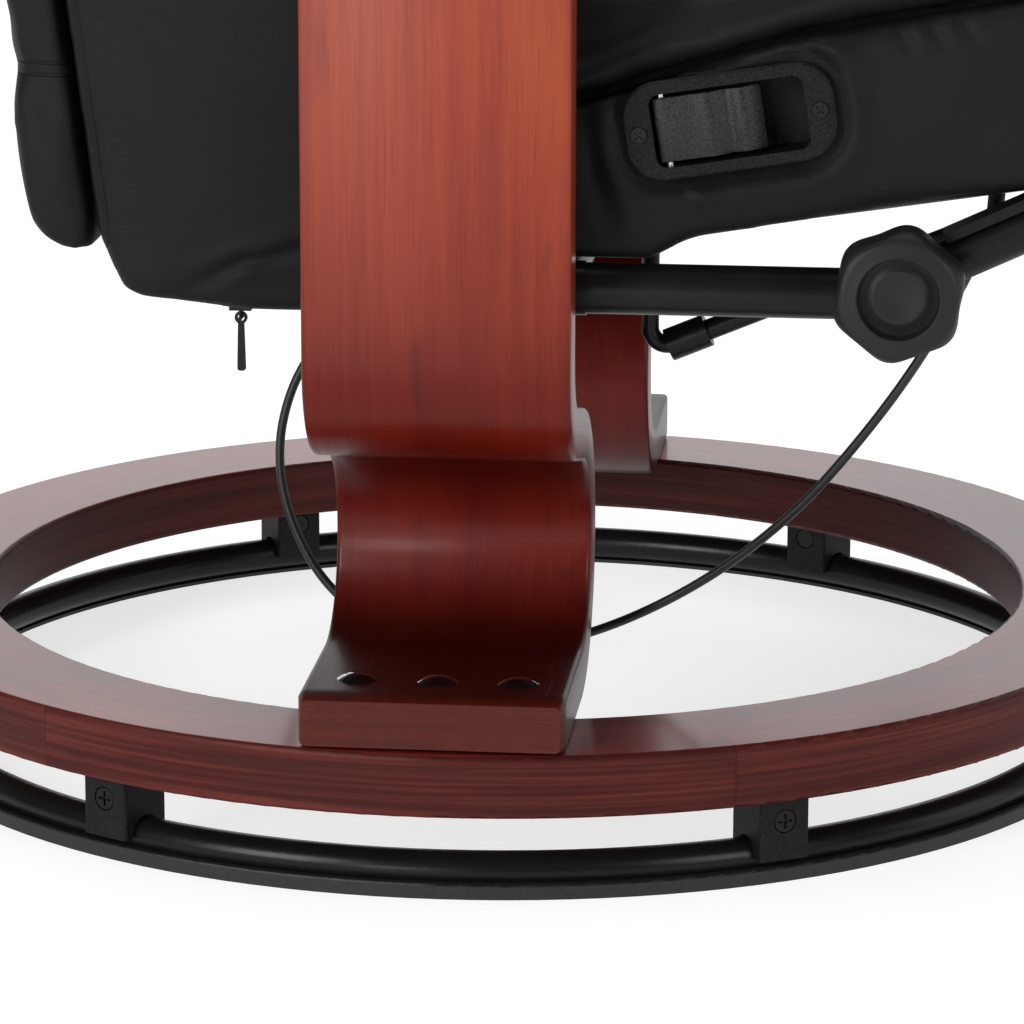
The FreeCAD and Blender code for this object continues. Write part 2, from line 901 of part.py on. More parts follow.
def make_pivot_bolt():
    arm_eye_inner = arm_eye_outer - eye_thickness
    head_base = at(pivot_place, arm_eye_inner - rest_gap - pivot_head_height, pivot_height)
    head = Part.makePolygon([
        head_base + at(
            pivot_head_radius * math.cos(math.radians(60 * corner)), 0,
            pivot_head_radius * math.sin(math.radians(60 * corner)))
        for corner in range(7)
    ])
    shank = rod(head_base, at(pivot_place, pivot_bolt_end, pivot_height), pivot_bolt_radius)
    return fuse([Part.Face(head).extrude(at(0, pivot_head_height, 0)), shank])


# Clamp knob with soft lobes and a dished face

def knob_point(turn, radius):
    angle = math.radians(turn)
    return at(pivot_place + radius * math.cos(angle), 0, pivot_height + radius * math.sin(angle))


def make_knob():
    pitch = 360 / knob_lobes
    middle_radius = (knob_radius + knob_valley_radius) / 2
    edges = []
    for lobe in range(knob_lobes):
        turn = knob_phase + lobe * pitch
        rise = [knob_point(turn - pitch / 4, middle_radius), knob_point(turn, knob_radius)]
        valley = knob_point(turn + pitch / 2, knob_valley_radius)
        fall = [knob_point(turn + pitch / 4, middle_radius), valley]
        following = knob_point(turn + 3 * pitch / 4, middle_radius)
        edges.append(Part.Arc(rise[0], rise[1], fall[0]).toShape())
        edges.append(Part.Arc(fall[0], fall[1], following).toShape())
    face = Part.Face(Part.Wire(edges))
    face.translate(at(0, knob_inner_face, 0))
    body = face.extrude(at(0, knob_outer_face - knob_inner_face, 0))
    barrel = rounded_face([
        (0, knob_inner_face, 0),
        (knob_barrel_radius, knob_inner_face, knob_edge_round),
        (knob_barrel_radius, knob_outer_face, knob_edge_round),
        (0, knob_outer_face, 0),
    ], lambda across, outward: at(pivot_place + across, outward, pivot_height))
    axis_point = at(pivot_place, 0, pivot_height)
    body = body.common(barrel.revolve(axis_point, at(0, 1, 0), 360))
    centre = at(pivot_place, knob_outer_face, pivot_height)
    dish_floor = centre - at(0, knob_dish_depth, 0)
    dish = rod(dish_floor, centre + at(0, overrun, 0), knob_dish_radius)
    dome_top = dish_floor + at(0, knob_dome_height, 0)
    dome_ball_radius = (knob_dome_radius ** 2 + knob_dome_height ** 2) / (2 * knob_dome_height)
    dome = Part.makeSphere(dome_ball_radius, dome_top - at(0, dome_ball_radius, 0))
    dome = dome.common(rod(dish_floor - at(0, knob_dome_height, 0), dome_top, knob_dish_radius))
    hub_face = frame_eye_inner + eye_thickness + rest_gap
    hub_start = at(pivot_place, hub_face, pivot_height)
    hub_end = at(pivot_place, knob_inner_face + overrun, pivot_height)
    hub = rod(hub_start, hub_end, knob_hub_radius)
    knob = fuse([body.cut(dish), dome, hub])
    return knob.cut(rod(
        at(pivot_place, hub_face - overrun, pivot_height),
        at(pivot_place, pivot_bolt_end + rest_gap, pivot_height),
        pivot_bolt_radius + running_fit))


# Arm rests

def arm_seat_height():
    rise = math.radians(shelf_slope)
    shelf_start = ring_top + upright_thickness / 2 + foot_bend_radius * (1 + math.cos(rise))
    straight_start = shelf_start + shelf_length() * math.sin(rise) + shelf_bend_radius * math.cos(rise)
    return straight_start + upright_straight + arm_bend_radius + upright_thickness / 2


def arm_screw_spots():
    """Places of the arm screws on the top face of the left upright's tongue."""
    tongue_start = upright_inner + upright_thickness / 2 + arm_bend_radius
    return [
        at(side * arm_screw_pitch / 2, tongue_start + arm_tongue_length / 2, arm_seat_height())
        for side in (1, -1)
    ]


def make_arm_board():
    low = arm_seat_height()
    outer = arm_board_inner + arm_board_width
    corners = [
        (arm_board_rear, arm_board_inner, arm_board_corner),
        (arm_board_front, arm_board_inner, arm_board_corner),
        (arm_board_front, outer, arm_board_corner),
        (arm_board_rear, outer, arm_board_corner),
    ]
    face = rounded_face(corners, lambda across, up: at(across, up, low))
    board = face.extrude(at(0, 0, arm_board_thickness))
    for spot in arm_screw_spots():
        hole_top = spot + at(0, 0, arm_screw_depth)
        board = board.cut(rod(spot - at(0, 0, overrun), hole_top, arm_screw_radius))
    return board


arm_pad_shares = (0, 0.015, 0.05, 0.12, 0.3, 0.5, 0.7, 0.88, 0.95, 0.985, 1)
arm_end_height_share = 0.45
arm_end_width_share = 0.72
arm_end_crown_share = 0.3


def make_arm_pad():
    low = arm_seat_height() + arm_board_thickness
    full_half = arm_board_width / 2
    middle = arm_board_inner + full_half
    start = arm_board_rear - arm_pad_overhang
    end = arm_board_front + arm_pad_overhang
    sections = []
    for share in arm_pad_shares:
        fullness = (1 - abs(2 * share - 1) ** 8) ** 0.5
        top = low + arm_pad_thickness * filled(arm_end_height_share, fullness)
        half = full_half * filled(arm_end_width_share, fullness)
        sections.append(pad_section(
            lambda spot, across, up: at(spot, middle + across, up),
            start + (end - start) * share, half, low, top,
            arm_pad_crown * filled(arm_end_crown_share, fullness), arm_pad_overhang))
    return pad(sections)


def make_arm_screw(spot):
    base = spot - at(0, 0, upright_thickness)
    head = rod(base - at(0, 0, arm_screw_head_height), base, arm_screw_head_radius)
    shank = rod(base, spot + at(0, 0, arm_screw_depth - running_fit), arm_screw_radius)
    return fuse([head, shank])


# Seat frame

def make_seat_frame():
    """Welded frame: two rails, a front, middle and rear tube, and the strut's clevis."""
    front_end = at(front_tube_place, seat_arm_side + seat_arm_radius, front_tube_height)
    rails = both_sides(rod(
        at(hinge_place, rail_place, hinge_height),
        at(front_tube_place, rail_place, front_tube_height), rail_radius))
    front = rod(mirrored_point(front_end), front_end, seat_arm_radius)
    mid_height = on_line(rail_line, mid_tube_place)
    mid_end = at(mid_tube_place, rail_place, mid_height)
    mid = rod(mirrored_point(mid_end), mid_end, mid_tube_radius)
    rear_end = at(hinge_place, rail_place + rail_radius - tube_wall, hinge_height)
    rear = rod(mirrored_point(rear_end), rear_end, rear_tube_radius)
    inner = strut_eye_half_width + clevis_gap
    cheek = link_xz(
        (mid_tube_place, mid_height), (strut_front_place, strut_front_height),
        clevis_half_width, inner, inner + clevis_thickness)
    frame = fuse(rails + [front, mid, rear] + both_sides(cheek))
    pin_reach = inner + clevis_thickness + overrun
    frame = frame.cut(rod(
        at(strut_front_place, -pin_reach, strut_front_height),
        at(strut_front_place, pin_reach, strut_front_height), strut_pin_radius + running_fit))
    rail_outer = rail_place + rail_radius + overrun
    for side in (1, -1):
        hole_start = at(hinge_place, side * hinge_bolt_inner(), hinge_height)
        hole_end = at(hinge_place, side * rail_outer, hinge_height)
        frame = frame.cut(rod(hole_start, hole_end, hinge_bolt_radius))
    return frame


def hinge_bolt_inner():
    return rail_place - 2 * rail_radius


def make_seat_arm():
    """Left arm: sloping tube with an eye at the pivot and a flat strip welded on top."""
    pivot = at(pivot_place, seat_arm_side, pivot_height)
    end = at(front_tube_place, seat_arm_side, front_tube_height)
    start = pivot + arm_direction * frame_tube_end_gap
    lid_end = start + arm_direction * tube_wall
    body = fuse([tube(start, end, seat_arm_radius, tube_wall), rod(start, lid_end, seat_arm_radius)])
    across = at(0, strip_width / 2, 0)
    base = pivot + arm_direction * strip_start + arm_up * (seat_arm_radius - tube_wall / 2)
    top = pivot + arm_direction * strip_start + arm_up * (seat_arm_radius + strip_thickness)
    length = (end - pivot).Length - strip_start
    side = [base - across, base + across, top + across, top - across, base - across]
    strip = Part.Face(Part.makePolygon(side)).extrude(arm_direction * length)
    bore = rod(start + arm_direction * tube_wall, end, seat_arm_radius - tube_wall)
    eye_tip = pivot + arm_direction * (frame_tube_end_gap + tube_wall)
    eye = link_xz(
        (pivot.x, pivot.z), (eye_tip.x, eye_tip.z), seat_arm_radius,
        arm_eye_outer - eye_thickness, arm_eye_outer)
    eye = eye.cut(rod(lid_end, end, seat_arm_radius * 2))
    arm = fuse([body, strip.cut(bore), eye])
    front_tube = rod(mirrored_point(end), end + at(0, 2 * seat_arm_radius, 0), seat_arm_radius)
    return arm.cut(front_tube).cut(pivot_hole())


def make_seat_webbing():
    """Elastic bands across the rails."""
    bands = []
    reach = front_tube_place - hinge_place
    for number in range(webbing_count):
        share = (number + webbing_lead_share) / (webbing_count + webbing_room_share)
        start = hinge_place + reach * share - webbing_width / 2
        end = start + webbing_width
        lift = rail_radius / math.cos(rail_angle()) + webbing_gap
        low = [(spot, on_line(rail_line, spot) + lift, 0) for spot in (start, end)]
        high = [(spot, height + webbing_thickness, 0) for spot, height, _ in reversed(low)]
        half = rail_place + rail_radius
        bands.append(plate_xz(low + high, -half, half))
    return bands


def rail_angle():
    return math.atan2(front_tube_height - hinge_height, front_tube_place - hinge_place)


def make_hinge_bolt():
    """Left hinge bolt: threaded into the frame, with its head outside the back's plate."""
    plate_outer = hinge_plate_inner() + hinge_plate_thickness
    head_start = at(hinge_place, plate_outer + rest_gap, hinge_height)
    head = rod(head_start, head_start + at(0, hinge_bolt_head_height, 0), hinge_bolt_head_radius)
    shank_start = at(hinge_place, hinge_bolt_inner() + running_fit, hinge_height)
    shank = rod(shank_start, head_start, hinge_bolt_radius)
    return fuse([head, shank])


def hinge_plate_inner():
    return rail_place + rail_radius + rest_gap


# Seat upholstery

seam_shares = ((0, 0), (0.234, 0.209), (0.5, 0.616), (0.764, 0.837), (1, 1))


def seam_line():
    """Seam between the side panels and the seat cushion, as places and heights."""
    return [
        (seat_rear + (seat_front - seat_rear) * along, seam_rear_height + seam_rise * up)
        for along, up in seam_shares
    ]


def strip_top_at(spot):
    reach = (seat_arm_radius + strip_thickness) / math.cos(slope)
    return pivot_height + (spot - pivot_place) * math.tan(slope) + reach


def seat_side_corners():
    """Side outline of the seat's lower part, from its rear bottom corner forwards."""
    seam = seam_line()
    meet = seat_belly_place + seat_corner_round * 2
    lower = [
        (seat_rear, seat_rear_bottom, seat_corner_round / 2),
        (seat_step_place - seat_corner_round, seat_step_low, seat_corner_round / 2),
        (seat_step_place + seat_corner_round / 2, seat_step_high, seat_corner_round / 2),
        (seat_belly_place, seat_belly_height, 0),
        (meet, strip_top_at(meet) + rest_gap, 0),
        (seat_front, strip_top_at(seat_front) + rest_gap, seat_corner_round),
    ]
    upper = [(place, height, 0) for place, height in reversed(seam)]
    return lower + upper


def make_seat_side():
    """Left side panel, padded, so its outer edge is well rounded."""
    panel = plate_xz(seat_side_corners(), side_inner, side_outer)
    rims = [edge for edge in panel.Edges if abs(edge.CenterOfMass.y - side_outer) < running_fit]
    return panel.makeFillet(side_edge_round, rims)


def core_floor(spot):
    lift = rail_radius / math.cos(rail_angle()) + webbing_gap + webbing_thickness + core_gap
    return on_line(rail_line, spot) + lift


def make_seat_core():
    """Foam block on the webbing, between the side panels."""
    rear = seat_rear + core_rear_gap
    seam = seam_line()
    upper = [(place, height - core_gap, 0) for place, height in reversed(seam[1:])]
    upper.append((rear, on_line(seam, rear) - core_gap, 0))
    lower = [
        (rear, core_floor(rear), 0),
        (seat_front, core_floor(seat_front), 0),
    ]
    return plate_xz(lower + upper, -side_inner + core_gap, side_inner - core_gap)


nose_droop_share = 0.55
seat_seam_crown_share = 0.4
# Rows of the nose: shares of its depth, of the rise below, of the drop above, and of the crown
nose_shares = ((0.04, 0, 0, 0.9), (0.3, 0, 0.06, 0.8), (0.7, 0.06, 0.2, 0.6), (1, 0.22, 0.42, 0.4))


def make_seat_cushion():
    """Cushion of three sewn rolls; the front one folds down over the front edge."""
    seam = [(place, height + core_gap) for place, height in seam_line()]
    fold = strip_top_at(seat_front) + seat_corner_round
    sections = []
    for spot, fullness in roll_stations(seat_rear, seat_front, seat_rolls):
        low = on_line(seam, spot)
        reach = max(0, (spot - seat_belly_place) / (seat_front - seat_belly_place))
        droop = nose_droop_share * reach ** 3
        thickness = seat_pad_thickness * (1 - droop) + seat_roll_rise * fullness
        half = seat_half_width - seat_draw_in * (1 - fullness)
        sections.append(pad_section(
            place_seat, spot, half, low, low + thickness,
            seat_crown * filled(seat_seam_crown_share, fullness), seat_side_bulge))
    last_high = seam[-1][1] + seat_pad_thickness * (1 - nose_droop_share)
    span = last_high - fold
    for along, rise, drop, crown in nose_shares:
        sections.append(pad_section(
            place_seat, seat_front + seat_nose * along, seat_half_width - seat_draw_in * (1 + along),
            fold + span * rise, last_high - span * drop, seat_crown * crown, seat_side_bulge))
    return pad(sections)


def place_seat(spot, across, up):
    return at(spot, across, up)


# Back frame and upholstery

back_front_line = [
    (back_bottom, back_front_low), (seam_rear_height, back_front_low),
    (back_knee_height, back_front_knee), (back_top, back_front_top),
]
back_rear_line = [
    (back_rear_low_height, back_rear_low),
    (back_knee_height, back_rear_knee), (back_top, back_rear_top),
]


def back_tube_at(height):
    return on_line(back_front_line, height) - frame_bury


def make_back_frame():
    """Welded frame: side tubes, cross bars, hinge plates and the strut's lever."""
    heights = (lower_bar_height, back_knee_height, back_frame_top)
    pieces = []
    for low, high in zip(heights, heights[1:]):
        start = at(back_tube_at(low), back_tube_place, low)
        end = at(back_tube_at(high), back_tube_place, high)
        pieces += both_sides(rod(start, end, back_tube_radius))
        pieces += both_sides(Part.makeSphere(back_tube_radius, end))
    for height in heights:
        end = at(back_tube_at(height), back_tube_place, height)
        pieces.append(rod(mirrored_point(end), end, lower_bar_radius))
    plate_inner = hinge_plate_inner()
    plate = link_xz(
        (hinge_place, hinge_height), (back_tube_at(hinge_plate_height), hinge_plate_height),
        hinge_plate_radius, plate_inner, plate_inner + hinge_plate_thickness)
    plate = plate.cut(rod(
        at(hinge_place, plate_inner - overrun, hinge_height),
        at(hinge_place, plate_inner + hinge_plate_thickness + overrun, hinge_height),
        hinge_bolt_radius + running_fit))
    pieces += both_sides(plate)
    inner = strut_eye_half_width + clevis_gap
    knee = (lever_knee_place, lever_knee_height)
    upper = link_xz(
        (back_tube_at(lower_bar_height), lower_bar_height), knee,
        lever_half_width, inner, inner + clevis_thickness)
    lower = link_xz(
        knee, (strut_rear_place, strut_rear_height), lever_half_width, inner, inner + clevis_thickness)
    pieces += both_sides(fuse([upper, lower]))
    frame = fuse(pieces)
    reach = inner + clevis_thickness + overrun
    return frame.cut(rod(
        at(strut_rear_place, -reach, strut_rear_height),
        at(strut_rear_place, reach, strut_rear_height), rear_pin_radius + running_fit))


def make_back_webbing():
    bands = []
    reach = back_frame_top - lumbar_bottom
    for number in range(webbing_count):
        start = lumbar_bottom + reach * number / webbing_count + webbing_gap
        end = start + webbing_width
        lift = back_tube_radius + back_webbing_lift
        rear = [(back_tube_at(spot) + lift, spot, 0) for spot in (start, end)]
        front = [(place + webbing_thickness, height, 0) for place, height, _ in reversed(rear)]
        half = back_tube_place + back_tube_radius
        bands.append(plate_xz(rear + front, -half, half))
    return bands


def back_rear_corners():
    """Rear and bottom of the back's side view, from the top down and forwards."""
    return [
        (back_rear_top, back_top, 0),
        (back_rear_knee, back_knee_height, 0),
        (back_rear_low, back_rear_low_height, 0),
        (back_bottom_rear_place, back_bottom_rear, back_corner_round),
        (back_bottom_middle, back_bottom, 0),
    ]


def make_back_side():
    """Left side panel of the back, padded, with a rounded outer edge."""
    front = [
        (back_bottom_front, back_bottom, back_corner_round / 2),
        (back_front_low, seam_rear_height, 0),
        (back_front_knee, back_knee_height, 0),
        (back_front_top, back_top, 0),
    ]
    panel = plate_xz(back_rear_corners() + front, side_inner, side_outer)
    rims = [edge for edge in panel.Edges if abs(edge.CenterOfMass.y - side_outer) < running_fit]
    return panel.makeFillet(side_edge_round, rims)


def make_back_core():
    """Foam block behind the frame, between the side panels."""
    lean = math.atan2(back_front_knee - back_front_top, back_top - back_knee_height)
    behind = back_tube_radius / math.cos(lean) + core_gap
    front = [
        (core_front_bottom, back_bottom, 0),
        (core_front_bottom, lower_bar_height, 0),
        (back_tube_at(back_knee_height) - behind, back_knee_height, 0),
        (back_tube_at(back_top) - behind, back_top, 0),
    ]
    return plate_xz(back_rear_corners() + front, -side_inner + core_gap, side_inner - core_gap)


def place_back(spot, across, forward):
    return at(forward, across, spot)


back_seam_crown_share = 0.5


def back_cushion(bottom, top, thickness, rise, rolls):
    """Stack of crowned rolls in front of the webbing, between two heights."""
    sections = []
    for spot, fullness in with_spot(roll_stations(bottom, top, rolls), back_knee_height):
        rear = on_line(back_front_line, spot) + core_gap
        half = cushion_half_width - cushion_draw_in * (1 - fullness)
        sections.append(pad_section(
            place_back, spot, half, rear, rear + thickness + rise * fullness,
            cushion_crown * filled(back_seam_crown_share, fullness), cushion_side_bulge))
    return sections


# Rows of the head pad's fold: shares of its height, of the depth behind and before, and of the crown
head_fold_shares = ((0.1, 0, 1, 1), (0.5, 0.02, 0.94, 0.8), (0.85, 0.1, 0.8, 0.6), (1, 0.22, 0.62, 0.4))


def make_head_cushion():
    """Head pad, folded back over the top of the back to the rear panel."""
    start = upper_top + cushion_gap
    sections = back_cushion(start, head_top, head_thickness, head_rise, head_rolls)
    rear_edge = on_line(back_rear_line, back_top)
    front_edge = on_line(back_front_line, back_top) + head_thickness
    span = front_edge - rear_edge
    for up, rear, front, crown in head_fold_shares:
        sections.append(pad_section(
            place_back, head_top + head_fold_height * up, cushion_half_width - cushion_draw_in * (1 + up),
            rear_edge + span * rear, rear_edge + span * front,
            cushion_crown * crown, cushion_side_bulge))
    return pad(sections)


def make_rear_panel():
    """Padded panel behind the back, with one seam across near its lower end."""
    sections = []
    runs = (
        roll_stations(rear_panel_bottom, rear_panel_seam, 1)[:-1]
        + roll_stations(rear_panel_seam, rear_panel_top, 1))
    for spot, fullness in runs:
        front = -on_line(back_rear_line, spot) + rest_gap
        half = rear_panel_half_width - rear_panel_draw_in * (1 - fullness)
        up = (spot - rear_panel_bottom) / (rear_panel_top - rear_panel_bottom)
        depth = rear_panel_depth + (rear_panel_top_depth - rear_panel_depth) * up
        sections.append(pad_section(
            lambda height, across, backward: at(-backward, across, height),
            spot, half, front, front + depth + rear_panel_rise * (fullness - 1),
            rear_panel_crown, rear_panel_rise / 2))
    return pad(sections)


# Strut that locks the recline

strut_front = at(strut_front_place, 0, strut_front_height)
strut_rear = at(strut_rear_place, 0, strut_rear_height)
strut_way = (strut_rear - strut_front).normalize()


def make_strut_cylinder():
    neck = strut_front + strut_way * strut_neck_length
    end = neck + strut_way * strut_cylinder_length
    half = at(0, strut_eye_half_width, 0)
    eye = rod(strut_front - half, strut_front + half, strut_eye_radius)
    stem = rod(strut_front, neck, strut_eye_half_width)
    body = rod(neck, end, strut_radius)
    cylinder = fuse([eye, stem, body])
    bore_start = end - strut_way * (strut_rod_inside_length + strut_bore_spare_length)
    cylinder = cylinder.cut(rod(bore_start, end + strut_way * overrun, strut_rod_radius + strut_bore_gap))
    pin_hole = rod(strut_front - half * 2, strut_front + half * 2, strut_pin_radius + running_fit)
    return cylinder.cut(pin_hole)


def make_strut_rod():
    end = strut_front + strut_way * (strut_neck_length + strut_cylinder_length)
    start = end - strut_way * strut_rod_inside_length
    half = at(0, strut_eye_half_width, 0)
    eye = rod(strut_rear - half, strut_rear + half, rear_eye_radius)
    stem = rod(start, strut_rear, strut_rod_radius)
    rod_body = fuse([stem, eye])
    eye_bore = rod(strut_rear - half * 2, strut_rear + half * 2, rear_pin_radius + rear_eye_clearance)
    return rod_body.cut(eye_bore)


def make_pin(middle, radius):
    reach = strut_eye_half_width + clevis_gap + clevis_thickness
    shank = rod(middle - at(0, reach, 0), middle + at(0, reach, 0), radius)
    heads = []
    for side in (1, -1):
        face = middle + at(0, side * reach, 0)
        heads.append(rod(face, face + at(0, side * pin_overhang, 0), radius + pin_overhang))
    return fuse([shank] + heads)


# Stays under the rails

stay_sleeve_middle = at(stay_sleeve_place, rail_place, stay_sleeve_height)
stay_front = at(front_tube_place, rail_place, front_tube_height)
stay_way = (stay_front - stay_sleeve_middle).normalize()


def make_stay_rod():
    start = stay_sleeve_middle
    body = rod(start, stay_front, stay_rod_radius)
    front_tube = rod(
        at(front_tube_place, 0, front_tube_height),
        at(front_tube_place, seat_arm_side, front_tube_height), seat_arm_radius)
    rail = rod(
        at(hinge_place, rail_place, hinge_height),
        at(front_tube_place, rail_place, front_tube_height), rail_radius)
    return body.cut(front_tube).cut(rail)


def make_stay_sleeve():
    """Sleeve on the rod's rear end, with the bent rod that goes up to the rail."""
    half = stay_way * (stay_sleeve_length / 2)
    sleeve = rod(stay_sleeve_middle - half, stay_sleeve_middle + half, stay_sleeve_radius)
    bore = rod(stay_sleeve_middle, stay_sleeve_middle + half * 2, stay_rod_radius + running_fit)
    sleeve = sleeve.cut(bore)
    corner = stay_sleeve_middle - stay_way * ((stay_sleeve_place - stay_hook_place) / stay_way.x)
    top = at(stay_hook_place, rail_place, on_line(rail_line, stay_hook_place))
    arc_start = corner + stay_way * (stay_hook_bend * math.tan(hook_half_turn()))
    arc_end = corner + at(0, 0, stay_hook_bend * math.tan(hook_half_turn()))
    centre = arc_end + at(stay_hook_bend, 0, 0)
    middle = centre + (corner - centre).normalize() * stay_hook_bend
    path = Part.Wire([
        Part.LineSegment(stay_sleeve_middle - half / 2, arc_start).toShape(),
        Part.Arc(arc_start, middle, arc_end).toShape(),
        Part.LineSegment(arc_end, top).toShape(),
    ])
    profile = Part.Wire(Part.makeCircle(stay_hook_radius, stay_sleeve_middle - half / 2, stay_way))
    hook = path.makePipeShell([profile], True, False)
    rail = rod(
        at(hinge_place, rail_place, hinge_height),
        at(front_tube_place, rail_place, front_tube_height), rail_radius)
    return fuse([sleeve, hook.cut(rail)])


def hook_half_turn():
    """Half of the turn from the sleeve's rearward way to straight up."""
    rearward = stay_way * -1
    return rearward.getAngle(at(0, 0, 1)) / 2


# Handle, in its own frame: along the bezel, up the bezel, and out of the seat

handle_height = on_line(seam_line(), handle_place) - handle_drop


def handle_at(along, up, outward):
    tilt = math.radians(handle_tilt)
    x = handle_place + along * math.cos(tilt) - up * math.sin(tilt)
    z = handle_height + along * math.sin(tilt) + up * math.cos(tilt)
    return at(x, -side_outer - outward, z)


def handle_slab(length, height, corner, inner, outer):
    corners = [
        (-length / 2, -height / 2, corner), (length / 2, -height / 2, corner),
        (length / 2, height / 2, corner), (-length / 2, height / 2, corner),
    ]
    face = rounded_face(corners, lambda across, up: handle_at(across, up, inner))
    return face.extrude(at(0, inner - outer, 0))


def make_bezel():
    plate = handle_slab(bezel_length, bezel_height, bezel_corner, rest_gap, rest_gap + bezel_thickness)
    rims = [
        edge for edge in plate.Edges
        if abs(edge.CenterOfMass.y + side_outer + rest_gap + bezel_thickness) < running_fit
    ]
    plate = plate.makeFillet(bezel_round, rims)
    cup = handle_slab(
        opening_length + 2 * cup_wall, opening_height + 2 * cup_wall,
        opening_corner + cup_wall, -cup_depth, rest_gap + bezel_thickness / 2)
    opening = handle_slab(
        opening_length, opening_height, opening_corner,
        -cup_depth + cup_wall, bezel_thickness + overrun)
    bezel = fuse([plate, cup]).cut(opening)
    bezel = bezel.cut(handle_pin_rod(running_fit))
    for side in (1, -1):
        along = side * handle_screw_place
        bezel = bezel.cut(rod(
            handle_at(along, 0, -overrun), handle_at(along, 0, bezel_thickness + overrun),
            handle_screw_radius + running_fit))
    return bezel


def handle_pin_rod(extra):
    reach = opening_height / 2 + cup_wall / 2
    depth = flap_proud - flap_pin_depth
    return rod(
        handle_at(flap_pin_place, -reach - extra, depth),
        handle_at(flap_pin_place, reach + extra, depth), flap_pin_radius + extra)


def make_handle_screw(side):
    along = side * handle_screw_place
    face = rest_gap + bezel_thickness
    shank = rod(handle_at(along, 0, -handle_screw_depth), handle_at(along, 0, face), handle_screw_radius)
    tip = handle_at(along, 0, face + handle_screw_head_height)
    head = rod(handle_at(along, 0, face), tip, handle_screw_head_radius)
    across = (handle_at(1, 1, 0) - handle_at(0, 0, 0)).normalize()
    return fuse([shank, head]).cut(cross_recess(
        tip, at(0, -1, 0), across, screw_cross_width,
        handle_screw_head_radius * cross_reach_share, screw_cross_depth))


def make_flap():
    """Flap that fills the rear of the opening and curls inwards at its front lip."""
    half = opening_height / 2 - flap_side_gap
    top = flap_proud
    inner = top - flap_thickness
    corners = [
        (flap_rear, inner, flap_thickness / 3),
        (flap_rear, top, flap_thickness / 3),
        (flap_shoulder_place, top, flap_curl_radius),
        (flap_front, top - flap_lip_depth, flap_curl_radius / 4),
        (flap_front, top - flap_lip_depth - flap_thickness, flap_curl_radius / 9),
        (flap_front - flap_thickness, top - flap_lip_depth - flap_thickness, flap_curl_radius / 9),
        (flap_shoulder_place, inner, flap_curl_radius / 2),
    ]
    face = rounded_face(corners, lambda across, outward: handle_at(across, -half, outward))
    body = face.extrude(handle_at(0, 2 * half, 0) - handle_at(0, 0, 0))
    depth = flap_proud - flap_pin_depth
    hub_start = handle_at(flap_pin_place, -half, depth)
    hub = rod(hub_start, handle_at(flap_pin_place, half, depth), flap_hub_radius)
    room = handle_slab(-2 * flap_rear, 2 * half, opening_corner, -cup_depth, cup_depth)
    return fuse([body, hub]).common(room).cut(handle_pin_rod(running_fit))


def make_leaf():
    """Hairpin leaf spring on the cup's floor that pushes the flap shut."""
    start = -cup_depth + cup_wall + rest_gap + leaf_thickness / 2
    end = flap_proud - flap_thickness - rest_gap - leaf_thickness / 2
    turn = math.radians(leaf_turn)
    rise = end - start - leaf_bend_radius * (1 - math.cos(turn))
    moves = [(leaf_run, 0), (leaf_bend_radius, -leaf_turn), (rise / math.sin(turn), 0)]
    face = bent_strip(
        (leaf_start, start), 180, moves, leaf_thickness,
        lambda across, outward: handle_at(across, -leaf_width / 2, outward))
    return face.extrude(handle_at(0, leaf_width, 0) - handle_at(0, 0, 0))


# Release cable and its end fittings

def cable_tube():
    """Tube along the cable's route: straight runs joined by arcs as large as they allow."""
    points = [at(*spot) for spot in cable_route]
    edges = []
    radii = []
    start = points[0]
    for before, here, after in zip(points, points[1:], points[2:]):
        back = before - here
        ahead = after - here
        turn = math.pi - back.getAngle(ahead)
        reach = arc_share * min(back.Length, ahead.Length)
        radius = reach / math.tan(turn / 2)
        back.normalize()
        ahead.normalize()
        arc_start = here + back * reach
        arc_end = here + ahead * reach
        inward = (back + ahead).normalize()
        centre = here + inward * (radius / math.cos(turn / 2))
        edges.append(Part.LineSegment(start, arc_start).toShape())
        edges.append(Part.Arc(arc_start, centre - inward * radius, arc_end).toShape())
        radii.append(round(radius))
        start = arc_end
    edges.append(Part.LineSegment(start, points[-1]).toShape())
    path = Part.Wire(edges)
    profile = Part.Wire(Part.makeCircle(cable_radius, points[0], points[1] - points[0]))
    body = path.makePipeShell([profile], True, False)
    print("cable radii", radii, "length", round(path.Length))
    section = math.pi * cable_radius ** 2
    print("cable volume", round(body.Volume), "section by length", round(section * path.Length))
    return body


def make_cable_fittings():
    """Clips at the cable's ends: one under the right rail, one under the rear tube."""
    points = [at(*spot) for spot in cable_route]
    front_way = (points[0] - points[1]).normalize()
    front = rod(points[0], points[0] + front_way * fitting_length, fitting_radius)
    rail_spot = at(points[0].x + front_way.x * fitting_length, -rail_place, 0)
    rail_spot.z = on_line(rail_line, rail_spot.x)
    front_tab = rod(points[0] + front_way * (fitting_length - fitting_radius), rail_spot, fitting_radius)
    rail = rod(
        at(hinge_place, -rail_place, hinge_height),
        at(front_tube_place, -rail_place, front_tube_height), rail_radius)
    rear_way = (points[-1] - points[-2]).normalize()
    rear = rod(points[-1], points[-1] + rear_way * fitting_length, fitting_radius)
    rear_tube = rod(
        at(hinge_place, -rail_place, hinge_height), at(hinge_place, 0, hinge_height), rear_tube_radius)
    rear_tab = rod(
        points[-1] + rear_way * (fitting_length / 2), at(hinge_place, points[-1].y, hinge_height),
        fitting_radius)
    return [fuse([front, front_tab]).cut(rail), fuse([rear, rear_tab]).cut(rear_tube)]


# Zip slider and pull

